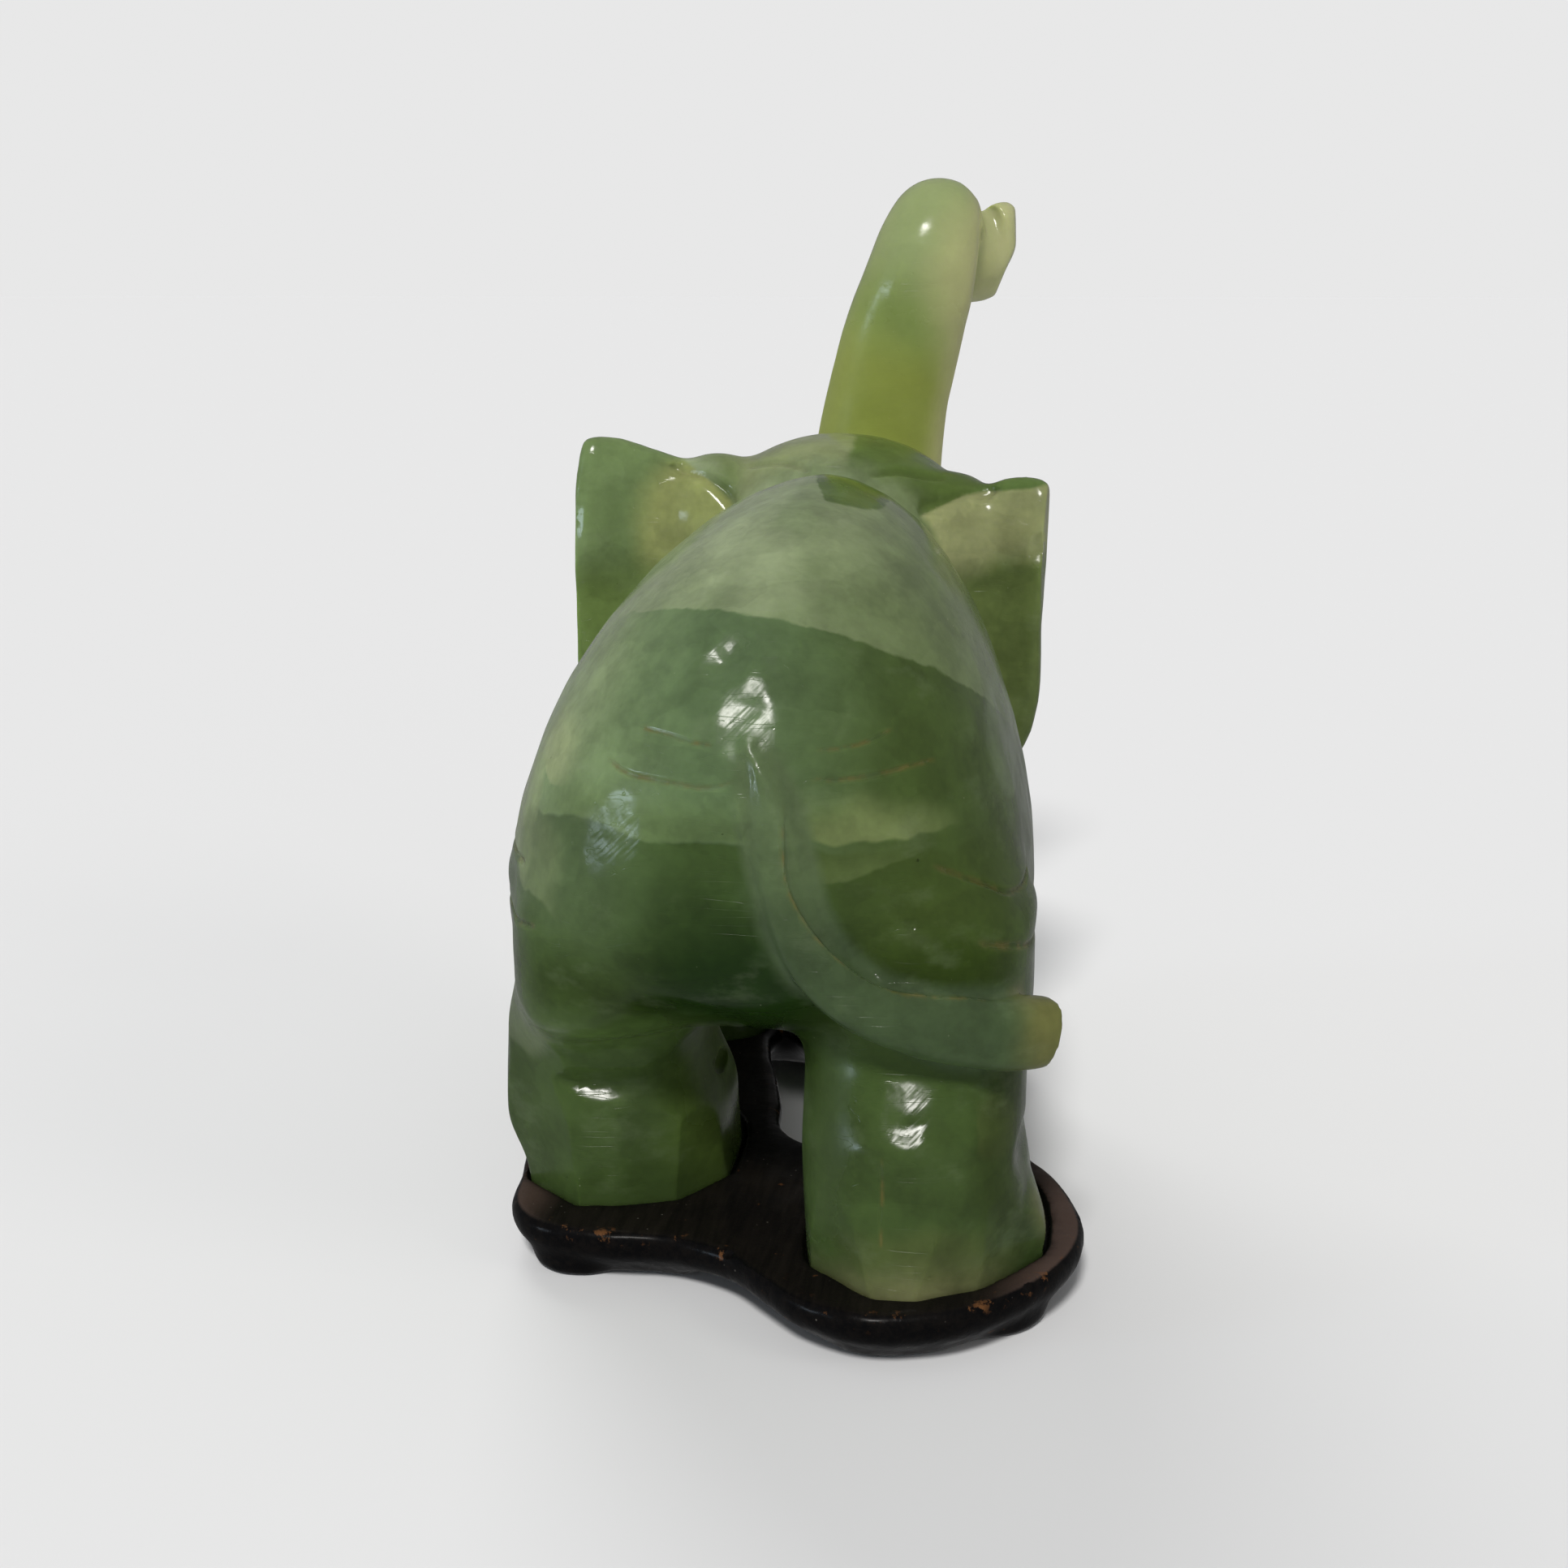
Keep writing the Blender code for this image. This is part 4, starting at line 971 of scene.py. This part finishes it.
def carved_stone():
    """The whole figure with its crisp parts, facets, folds and marks, and its cut lines' routes."""
    crisp = [tube("tail", TAIL, TAIL_ROUNDNESS, across=(0, 0, 1))]
    crisp.append(tube("trunk_mouth", TRUNK_MOUTH, *MOUTH_ROUNDNESS))
    crisp += [tube(name, rows) for name, rows in TUSKS.items()]
    figure = fused(joined("jade_stone", [rough_figure(), *crisp]), FINE_VOXEL)
    sculpt(figure, hollow, *MOUTH_HOLLOW)
    for row in SWELLINGS:
        relieve(figure, swelling, *row)
    for row in EYES:
        relieve(figure, swelling, *row, EYE_HEIGHT)
    for x, y, _ in toe_nails():
        relieve(figure, swelling, (x, y, NAIL_Z), NAIL_RADII, NAIL_HEIGHT)
    soften(figure, FINE_PASSES, hollows=0.5, bumps=0.5)
    relieve(figure, crests, routed(tree_of(figure), CRESTS))
    for point, normal, centre, reach in FACETS:
        sculpt(figure, press_flat, point, normal, FACET_SOFTNESS, centre, reach, FACET_EDGE)
    for name in SOLES:
        for start, end, out in sole_edges(name):
            middle = (*(start + end) / 2, DECK_Z)
            sculpt(figure, press_flat, middle, (*out, SOLE_LEAN), SOLE_SOFTNESS, middle, SOLE_REACH)
    for row in CHIPS:
        sculpt(figure, hollow, *row)
    for row in STONE_WAVES:
        relieve(figure, waves, *row)
    for centre, radii, wavelength, height in RIPPLED:
        relieve(figure, waves, wavelength, height, RIPPLE_SEED, (centre, radii))
    tree = tree_of(figure)
    marks = routed(tree, FOLDS + nail_lines() + face_lines())
    clean = routed(tree, HEAD_CREASES + trunk_rings() + ear_lines())
    tail_line, width, depth = routed(tree, [TAIL_UNDERCUT])[0]
    refine(figure, [line for line, _, _ in marks + clean] + [tail_line], REFINE_REACH)
    relieve(figure, engraving, marks + clean)
    undercut(figure, tail_line, width, depth)
    figure = thinned(figure, STONE_TRIANGLES)
    cut_level(figure, DECK_Z - SOCKET_DEPTH + FOOT_GAP)
    return figure, marks + [(tail_line, 0.8, depth)]


def level_rings(curve, profile):
    """The outline repeated at each height of a profile, grown or shrunk by its second number."""
    ahead = np.roll(curve, -1, axis=0)
    along = unit(ahead - np.roll(curve, 1, axis=0))
    area = np.sum(curve[:, 0] * ahead[:, 1] - ahead[:, 0] * curve[:, 1])
    outward = math.copysign(1.0, area) * np.column_stack([along[:, 1], -along[:, 0]])
    return [ring(*(curve + outward * out).T, z) for z, out in profile]


def arch(x, y, degrees, half_span, height):
    """A low lens-shaped tunnel below the rim, running along its direction."""
    unit_across, unit_up = superellipse(2.0, count=32)
    turn = math.radians(degrees)
    along, side = np.array([math.cos(turn), math.sin(turn)]), (-math.sin(turn), math.cos(turn))
    rings = []
    for reach in (-ARCH_REACH, ARCH_REACH):
        flat = (x, y) + along * reach + np.outer(unit_across * half_span, side)
        rings.append(ring(*flat.T, unit_up * height))
    return skin("arch", rings)


def foot(x, y, radius):
    """A round foot below the apron, narrower at the table."""
    across, up = superellipse(2.0, count=36)
    rings = [ring(x + (radius - inset) * across, y + (radius - inset) * up, z) for z, inset in FOOT_PROFILE]
    return skin("foot", rings)


def socket_outline(name, count=56):
    """The foot's outline with its clearance, as (x, y) points."""
    _, x, y, half_width, half_length = LEGS[name][0]
    unit_across, unit_up = superellipse(FOOT_ROUNDNESS, count=count)
    across = x + (half_width + SOCKET_GAP) * unit_across
    outline = np.column_stack([across, y + (half_length + SOCKET_GAP) * unit_up])
    for start, _, out in sole_edges(name):
        outline -= np.outer(np.maximum((outline - start) @ out - SOCKET_GAP, 0), out)
    return outline


def socket(name):
    """A recess for a foot, from its floor to above the deck."""
    outline = socket_outline(name)
    return skin("socket", [ring(*outline.T, z) for z in (DECK_Z - SOCKET_DEPTH, DECK_Z + 2.0)])


def carved_stand():
    """The stand with its arches, feet and sockets, its edges rubbed soft, waved and nicked."""
    profile = smooth_rows(APRON_PROFILE, 3)
    profile[:, 0] = np.clip(profile[:, 0], 0.0, DECK_Z)
    base = skin("wood_stand", level_rings(smooth_rows(DECK_OUTLINE, 5, closed=True), profile))
    underside = level_rings(np.array(DECK_OUTLINE), [(-2.0, -HOLLOW_INSET), (HOLLOW_DEPTH, -HOLLOW_INSET)])
    base = cut_by(base, skin("hollow", underside))
    base = fused(joined("wood_stand", [base, *(foot(*row) for row in FEET)]), STAND_VOXEL)
    for row in ARCHES:
        base = cut_by(base, arch(*row))
    soften(base, STAND_PASSES, hollows=0.6, bumps=0.06)
    for name in LEGS:
        base = cut_by(base, socket(name))
    base = fused(base, WOOD_VOXEL)
    soften(base, WOOD_PASSES, hollows=0.5, bumps=0.5)
    for row in WOOD_WAVES:
        relieve(base, waves, *row)
    for row in NICKS:
        sculpt(base, hollow, *row)
    base = thinned(base, STAND_TRIANGLES)
    cut_level(base, 0.0)
    return base


def store(obj, **layers):
    """Keeps numbers for each vertex, for the material to read."""
    for name, values in layers.items():
        layer = obj.data.attributes.new(name, "FLOAT", "POINT")
        layer.data.foreach_set("value", np.asarray(values, np.float32))


def nearness(points, rows, start, end):
    """1 within start radii of a tube's centre line, falling to 0 at end radii."""
    ratio = np.empty(len(points))
    for some in batches(np.arange(len(points))):
        ratio[some] = (gaps_to(points[some], rows[:, :3]) / rows[:, 3]).min(axis=1)
    return np.clip((end - ratio) / (end - start), 0, 1)


def beside_line(points, rows):
    """1 at a tube's two sides as the photograph shows them, 0 along its middle."""
    side = np.empty(len(points))
    for some in batches(np.arange(len(points))):
        nearest = rows[gaps_to(points[some], rows[:, :3]).argmin(axis=1)]
        side[some] = np.abs((points[some] - nearest[:, :3]) @ CAMERA_RIGHT) / nearest[:, 3]
    return eased((side - 0.5) / 0.5)


def mark_stone(obj, marks):
    """Stores where the tail, the trunk and the ears are, the painted sheen along the trunk's sides, and
    where dirt lies in the cut lines.
    """
    points = read_vertices(obj.data) / MM
    x, y, z = points.T
    inner = [np.interp(z, *zip(*EAR_ROOTS[side])) for side in ("left", "right")]
    beside = np.clip((np.abs(x) - np.where(x > 0, *inner)) / 0.9, 0, 1)
    between_faces = np.clip((EAR_BACK_Y - y) / 1.6, 0, 1) * np.clip((y - EAR_FRONT_Y) / 3.0, 0, 1)
    # The trunk's painted rim sheen is palest on its right side.
    to_right = (points - TRUNK_MIDDLE) @ unit(np.array(TRUNK_TO_RIGHT))
    rim_sheen_share = 0.15 + 0.7 * eased(eased(0.5 + to_right / TRUNK_RIM_OVER))
    dirt = np.zeros(len(points))
    for line, width, _ in marks:
        distance, along = line_distance(points, line, 2 * width)
        dirt = np.maximum(dirt, ends_fade(along) * bell(distance / (0.4 * width)))
    store(
        obj,
        on_tail=nearness(points, smooth_rows(TAIL, 6), 1.15, 1.5),
        on_trunk=nearness(points, smooth_rows(TRUNK[2:] + TRUNK_MOUTH[1:], 6), 1.2, 1.5),
        # A painted sheen along the trunk's sides.
        at_trunk_rim=beside_line(points, smooth_rows(TRUNK[2:], 6)) * rim_sheen_share,
        on_ear=beside * between_faces * np.clip((z - EAR_LOW_Z) / 3.0, 0, 1),
        in_cut=dirt,
    )


def mark_stand(obj):
    """Stores how near the deck's rim and the sockets' edges are."""
    points = read_vertices(obj.data) / MM
    rim = level_rings(smooth_rows(DECK_OUTLINE, 6, closed=True), [(DECK_Z - 0.4, 0.2)])[0]
    crevice = np.zeros(len(points))
    for name in LEGS:
        edge = ring(*socket_outline(name, 90).T, DECK_Z - 0.5)
        crevice = np.maximum(crevice, bell(line_distance(points, edge, 5.0)[0] / 1.2))
    store(obj, at_rim=bell(line_distance(points, rim, 8.0)[0] / 1.3), at_socket=crevice)


def place(obj):
    """Moves a mesh from the carving's frame to the CAD pieces' frame."""
    obj.data.transform(Matrix.Translation(Vector(CARVING_SHIFT) * MM))
    bpy.context.scene.collection.objects.link(obj)
    obj.data.shade_smooth()
    obj.data.set_sharp_from_angle(angle=math.radians(SHARP_ANGLE))


def linear(red, green, blue):
    """A colour given as 0 to 255 screen values."""
    steps = [value / 255 for value in (red, green, blue)]
    return [s / 12.92 if s <= 0.04045 else ((s + 0.055) / 1.055) ** 2.4 for s in steps] + [1.0]


def stone(red, green, blue):
    """The base colour that looks like this screen colour under the studio's light."""
    return [max((s - GLOSS_SHARE) / LIGHT_GAIN, 0.003) for s in linear(red, green, blue)[:3]] + [1.0]


class Paint:
    """A material's nodes; each method adds one and returns its output."""

    def __init__(self, name):
        self.material = bpy.data.materials.new(name)
        self.material.use_nodes = True
        self.tree = self.material.node_tree
        self.shader = self.tree.nodes["Principled BSDF"].inputs
        in_mm = self.scaled(self.node("ShaderNodeTexCoord", {}, "Object"), 1 / MM)
        self.where = self.vector("SUBTRACT", in_mm, tuple(CARVING_SHIFT))

    def node(self, kind, inputs, output=0, **settings):
        """A node with these settings and inputs, which are values or other nodes' outputs."""
        made = self.tree.nodes.new(kind)
        for setting, value in settings.items():
            setattr(made, setting, value)
        for name, value in inputs.items():
            self.feed(made.inputs[name], value)
        return made.outputs[output]

    def feed(self, socket, value):
        if isinstance(value, bpy.types.NodeSocket):
            self.tree.links.new(value, socket)
        else:
            socket.default_value = value

    def vector(self, operation, a, b, output="Vector"):
        return self.node("ShaderNodeVectorMath", {0: a, 1: b}, output, operation=operation)

    def scaled(self, a, scale):
        return self.node("ShaderNodeVectorMath", {0: a, "Scale": scale}, operation="SCALE")

    def math(self, operation, a, b=0.0):
        return self.node("ShaderNodeMath", {0: a, 1: b}, operation=operation)

    def times(self, *values):
        return reduce(partial(self.math, "MULTIPLY"), values)

    def plus(self, *values):
        return reduce(partial(self.math, "ADD"), values)

    def noise(self, wavelength, detail=2.0, where=None, stretch=None, roughness=0.5, output="Fac"):
        spot = where or self.where
        if stretch:
            spot = self.vector("MULTIPLY", spot, stretch)
        inputs = {"Vector": spot, "Scale": 1 / wavelength, "Detail": detail, "Roughness": roughness}
        return self.node("ShaderNodeTexNoise", inputs, output)

    def cells(self, wavelength, where=None):
        inputs = {"Vector": where or self.where, "Scale": 1 / wavelength}
        return self.node("ShaderNodeTexVoronoi", inputs, "Distance")

    def ramp(self, value, low, high, out_low=0.0, out_high=1.0):
        """Smoothly from out_low at low to out_high at high."""
        inputs = {"Value": value, "From Min": low, "From Max": high, "To Min": out_low, "To Max": out_high}
        return self.node("ShaderNodeMapRange", inputs, interpolation_type="SMOOTHSTEP")

    def mix(self, share, below, above):
        return self.node("ShaderNodeMix", {0: share, 6: below, 7: above}, 2, data_type="RGBA")

    def read(self, name):
        return self.node("ShaderNodeAttribute", {}, "Fac", attribute_name=name)

    def ball(self, centre, radii, edge, where=None):
        """1 inside an ellipsoid, 0 outside, with an edge of this share of its radii."""
        apart = self.vector("DIVIDE", self.vector("SUBTRACT", where or self.where, centre), radii)
        length = self.node("ShaderNodeVectorMath", {0: apart}, "Value", operation="LENGTH")
        return self.ramp(length, 1.0 + edge, 1.0 - edge)

    def above(self, point, normal, edge, where=None):
        """1 on the normal's side of a plane and 0 behind it, with an edge in millimetres."""
        apart = self.vector("SUBTRACT", where or self.where, point)
        return self.ramp(self.dot(apart, tuple(Vector(normal).normalized())), -edge, edge)

    def dot(self, a, b):
        return self.vector("DOT_PRODUCT", a, b, "Value")

    def warped(self, wavelength, reach):
        """The place pushed about by noise, so that borders wander."""
        push = self.vector("SUBTRACT", self.noise(wavelength, 3.0, output="Color"), (0.5, 0.5, 0.5))
        return self.vector("ADD", self.where, self.scaled(push, 2 * reach))

    def slanted(self):
        """Coordinates along and across lines that rise to the right, drawn out along them."""
        along = self.dot(self.where, (-0.12, 0.0, 0.12))
        across = self.dot(self.where, (0.75, 0.0, 0.75))
        return self.node("ShaderNodeCombineXYZ", {0: along, 2: across})

    def finish(self, colour, roughness, height_mm, constants):
        """Connects the material's colour, roughness and relief, and sets its constants."""
        normal = self.node("ShaderNodeBump", {"Distance": MM, "Height": height_mm}, "Normal")
        linked = {"Base Color": colour, "Roughness": roughness, "Normal": normal}
        for name, value in {**linked, **constants}.items():
            self.feed(self.shader[name], value)
        return self.material


class StonePaint(Paint):
    """Paint whose layers come from the tables of tones."""

    def __init__(self, name):
        super().__init__(name)
        self.borders = {"wide": self.warped(14.0, 3.4), "fine": self.warped(4.0, 1.0), "even": self.where}
        self.made = {}

    def field(self, kind, *settings):
        """The share that a table describes: an attribute, streaks, or a ball or plane and its border."""
        if (kind, *settings) not in self.made:
            if kind == "read":
                share = self.read(*settings)
            elif kind == "streaks":
                wavelength, stretch, low, high = settings
                share = self.ramp(self.noise(wavelength, 4.0, stretch=stretch), low, high)
            else:
                *shape, border = (*settings, "wide")[:4]
                share = (self.ball if kind == "ball" else self.above)(*shape, self.borders[border])
            self.made[(kind, *settings)] = share
        return self.made[(kind, *settings)]

    def product(self, fields, strength=1):
        shares = [self.field(*row) for row in fields]
        return self.times(*shares) if strength == 1 else self.times(*shares, strength)

    def layered(self, colour, layers):
        """The colour under its layers: each has a tone, strength, fields and layers of its own."""
        for tone, strength, fields, *own in layers:
            top = self.layered(stone(*tone), own[0]) if own else stone(*tone)
            colour = self.mix(self.product(fields, strength), colour, top)
        return colour


def jade():
    """Polished translucent stone: deep green below, a pale veil over the back, clouds between. Painted shade
    darkens the underside, between the hind legs and beside the left ear; the trunk's colour is partly a
    painted glow, with a painted sheen along its sides.
    """
    paint = StonePaint("polished_jade")
    colour = paint.layered(stone(*BACK_TONE), BACK_LAYERS)
    for tone, centre, radii, edge, strength, border in CLOUDS:
        fields = [("ball", centre, radii, edge)] + ([("above", *border, 0.3)] if border else [])
        colour = paint.layered(colour, [(tone, strength, fields)])
    colour = paint.layered(colour, PART_LAYERS)

    # Layered clouds with crisp borders, mottling and fine flecks, weaker on the trunk.
    on_trunk = paint.product(ON_TRUNK)
    plain = paint.ramp(on_trunk, 0.0, 1.0, 1.0, 0.25)
    middling = paint.ramp(paint.noise(7.0, 4.0), 0.3, 0.7, -0.13, 0.13)
    grain = paint.ramp(paint.noise(1.3, 3.0), 0.25, 0.75, -0.05, 0.05)
    layer = paint.ramp(paint.noise(24.0, 4.0, stretch=(0.8, 0.8, 1.4)), 0.49, 0.51, -0.05, 0.05)
    thin = paint.ramp(paint.noise(13.0, 4.0, paint.borders["wide"]), 0.55, 0.57, 0.0, 0.08)
    value = paint.times(paint.plus(middling, grain, layer, thin), plain)
    colour = paint.node("ShaderNodeHueSaturation", {"Value": paint.plus(value, 1.0), "Color": colour})
    milk = paint.ramp(paint.noise(11.0, 5.0, stretch=(1.0, 0.8, 1.7), roughness=0.6), 0.54, 0.72, 0.0, 0.10)
    colour = paint.mix(paint.times(milk, plain), colour, stone(140, 154, 122))
    flecks = paint.ramp(paint.cells(2.3), 0.03, 0.07, 1.0, 0.0)
    flecks = paint.times(flecks, paint.ramp(paint.noise(9.0), 0.58, 0.64), 0.3)
    colour = paint.mix(flecks, colour, stone(178, 184, 158))
    fine = paint.borders["fine"]
    specks = paint.ramp(paint.cells(5.3, fine), 0.03, 0.05, 1.0, 0.0)
    specks = paint.times(specks, paint.ramp(paint.noise(12.0, where=fine), 0.6, 0.64), 0.7)
    colour = paint.mix(specks, colour, stone(40, 46, 22))
    in_cut = paint.read("in_cut")
    dirt = paint.times(in_cut, paint.ramp(paint.noise(2.2), 0.35, 0.65), 0.85)
    colour = paint.mix(dirt, colour, stone(112, 100, 58))

    hatched = 0.0
    for centre, radii in HATCHED:
        hatched = paint.math("MAXIMUM", hatched, paint.ball(centre, radii, 0.3))
    polish = paint.ramp(paint.noise(5.0, 4.0), 0.3, 0.7, 0.12, 0.22)
    dull = [paint.product(fields, strength) for strength, fields in DULL]
    rough = paint.plus(polish, paint.times(in_cut, 0.25), paint.times(hatched, 0.06), *dull)

    # Polishing ripples, hatching in places, scratches and pits, as a height in millimetres.
    ripples = paint.times(paint.noise(2.6), 0.05)
    hatch = paint.noise(0.7, 1.0, paint.slanted(), (0.9, 0.3, 0.9))
    hatch = paint.times(hatch, hatched, 0.05)
    scratch = paint.math("SUBTRACT", paint.noise(3.0, 1.0, stretch=(0.12, 1.2, 1.9)), 0.5)
    scratch = paint.ramp(paint.math("ABSOLUTE", scratch), 0.0, 0.008, -0.012, 0.0)
    pits = paint.ramp(paint.cells(4.2), 0.04, 0.09, -0.03, 0.0)
    return paint.finish(colour, rough, paint.plus(ripples, hatch, scratch, pits), JADE_CONSTANTS)


def black_wood():
    """Near-black lacquer, dusty brown on the deck, rubbed to warm wood along the rim."""
    paint = Paint("black_lacquered_wood")
    grain = paint.noise(7.0, 4.0, stretch=(6.0, 0.6, 6.0), roughness=0.6)
    colour = paint.mix(paint.ramp(grain, 0.35, 0.7), linear(7, 7, 8), linear(15, 13, 12))
    normal = paint.node("ShaderNodeNewGeometry", {}, "Normal")
    facing_up = paint.ramp(paint.dot(normal, (0, 0, 1)), 0.8, 0.97)
    on_top = paint.times(facing_up, paint.above((0, 0, 8.8), (0, 0, 1), 0.3))
    blotches = paint.ramp(paint.noise(13.0, 5.0, roughness=0.6), 0.3, 0.7, 0.25, 0.9)
    dusty = paint.mix(paint.ramp(grain, 0.3, 0.7), linear(17, 15, 12), linear(27, 24, 20))
    outer = paint.times(on_top, paint.ball((-50, 34, 9.5), (12, 26, 4), 0.5), 0.8)
    left = paint.times(on_top, paint.ball((40, 26, 9.5), (7, 18, 4), 0.5), 0.7)
    rubbed = paint.ramp(paint.noise(3.4, 5.0, roughness=0.7), 0.60, 0.66)
    chips = paint.times(paint.ramp(paint.noise(4.0, 4.0), 0.71, 0.74), 0.5)
    dust = paint.ramp(paint.cells(1.7), 0.06, 0.11, 1.0, 0.0)
    dust = paint.times(dust, paint.ramp(paint.noise(10.0), 0.54, 0.62), 0.4)
    for share, tone in (
        (paint.times(on_top, blotches), dusty),
        (outer, linear(78, 64, 58)),
        (left, linear(74, 61, 54)),
        (paint.times(rubbed, paint.read("at_rim"), 0.8), linear(104, 70, 42)),
        (chips, linear(96, 62, 36)),
        (paint.times(paint.read("at_socket"), 0.8), linear(10, 9, 8)),
        (dust, linear(120, 116, 108)),
    ):
        colour = paint.mix(share, colour, tone)
    rough = paint.plus(paint.ramp(paint.noise(4.0, 4.0), 0.3, 0.7, 0.24, 0.42), paint.times(on_top, 0.22))
    relief = paint.plus(paint.times(paint.noise(1.6, 3.0), 0.09), paint.times(grain, 0.05))
    return paint.finish(colour, rough, relief, WOOD_CONSTANTS)


def floor():
    """A plain pale floor, much wider than the view. Reflections don't show it, as the table is dark."""
    bm = bmesh.new()
    bmesh.ops.create_grid(bm, x_segments=2, y_segments=2, size=FLOOR_REACH)
    ground = new_object("floor", bm)
    bpy.context.scene.collection.objects.link(ground)
    paint = Paint("pale_floor")
    paint.shader["Base Color"].default_value = linear(223, 225, 228)
    paint.shader["Roughness"].default_value = 0.9
    paint.shader["Specular IOR Level"].default_value = 0.0
    ground.data.materials.append(paint.material)
    ground.visible_glossy = False


def lights():
    """Broad distant lamps, and a world that is brighter where the camera sees it."""
    for name, direction, energy, width, colour, glossy in LAMPS:
        data = bpy.data.lights.new(name, "SUN")
        data.energy, data.color, data.angle = energy, colour, math.radians(width)
        lamp = bpy.data.objects.new(name, data)
        bpy.context.scene.collection.objects.link(lamp)
        lamp.rotation_euler = Vector(direction).normalized().to_track_quat("Z", "Y").to_euler()
        lamp.visible_glossy = glossy
    world = bpy.data.worlds.new("studio")
    bpy.context.scene.world = world
    world.use_nodes = True
    tree = world.node_tree
    back = tree.nodes["Background"].inputs
    back["Color"].default_value = (1, 1, 1, 1)
    path = tree.nodes.new("ShaderNodeLightPath")
    strength = tree.nodes.new("ShaderNodeMapRange")
    strength.inputs["To Min"].default_value = WORLD_LIGHT
    strength.inputs["To Max"].default_value = WORLD_SEEN
    tree.links.new(path.outputs["Is Camera Ray"], strength.inputs["Value"])
    tree.links.new(strength.outputs["Result"], back["Strength"])


def camera():
    data = bpy.data.cameras.new("photo_camera")
    data.sensor_width = SENSOR_MM
    data.lens = SENSOR_MM * FOCAL_PIXELS / PHOTO_PIXELS
    data.clip_start = 0.01
    made = bpy.data.objects.new("photo_camera", data)
    bpy.context.scene.collection.objects.link(made)
    axes = np.column_stack([CAMERA_RIGHT, CAMERA_UP, -CAMERA_AHEAD])
    turn = Matrix(axes.tolist()).to_4x4()
    made.matrix_world = Matrix.Translation(Vector(CAMERA_PLACE + CARVING_SHIFT) * MM) @ turn
    bpy.context.scene.camera = made


def elephant():
    figure, marks = carved_stone()
    mark_stone(figure, marks)
    place(figure)
    figure.data.materials.append(jade())
    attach(figure, "root")
    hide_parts("jade_elephant")


def stand():
    base = carved_stand()
    mark_stand(base)
    place(base)
    base.data.materials.append(black_wood())
    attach(base, "root")
    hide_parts("wooden_stand")


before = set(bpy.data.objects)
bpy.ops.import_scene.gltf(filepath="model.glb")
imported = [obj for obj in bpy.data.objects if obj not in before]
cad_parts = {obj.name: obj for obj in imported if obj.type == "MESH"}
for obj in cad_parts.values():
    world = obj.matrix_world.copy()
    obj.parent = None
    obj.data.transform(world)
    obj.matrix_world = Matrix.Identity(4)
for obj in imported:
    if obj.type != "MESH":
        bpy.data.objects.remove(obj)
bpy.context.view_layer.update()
camera()
lights()
floor()
elephant()
stand()
bpy.context.scene.view_settings.view_transform = "Standard"
bpy.context.view_layer.update()
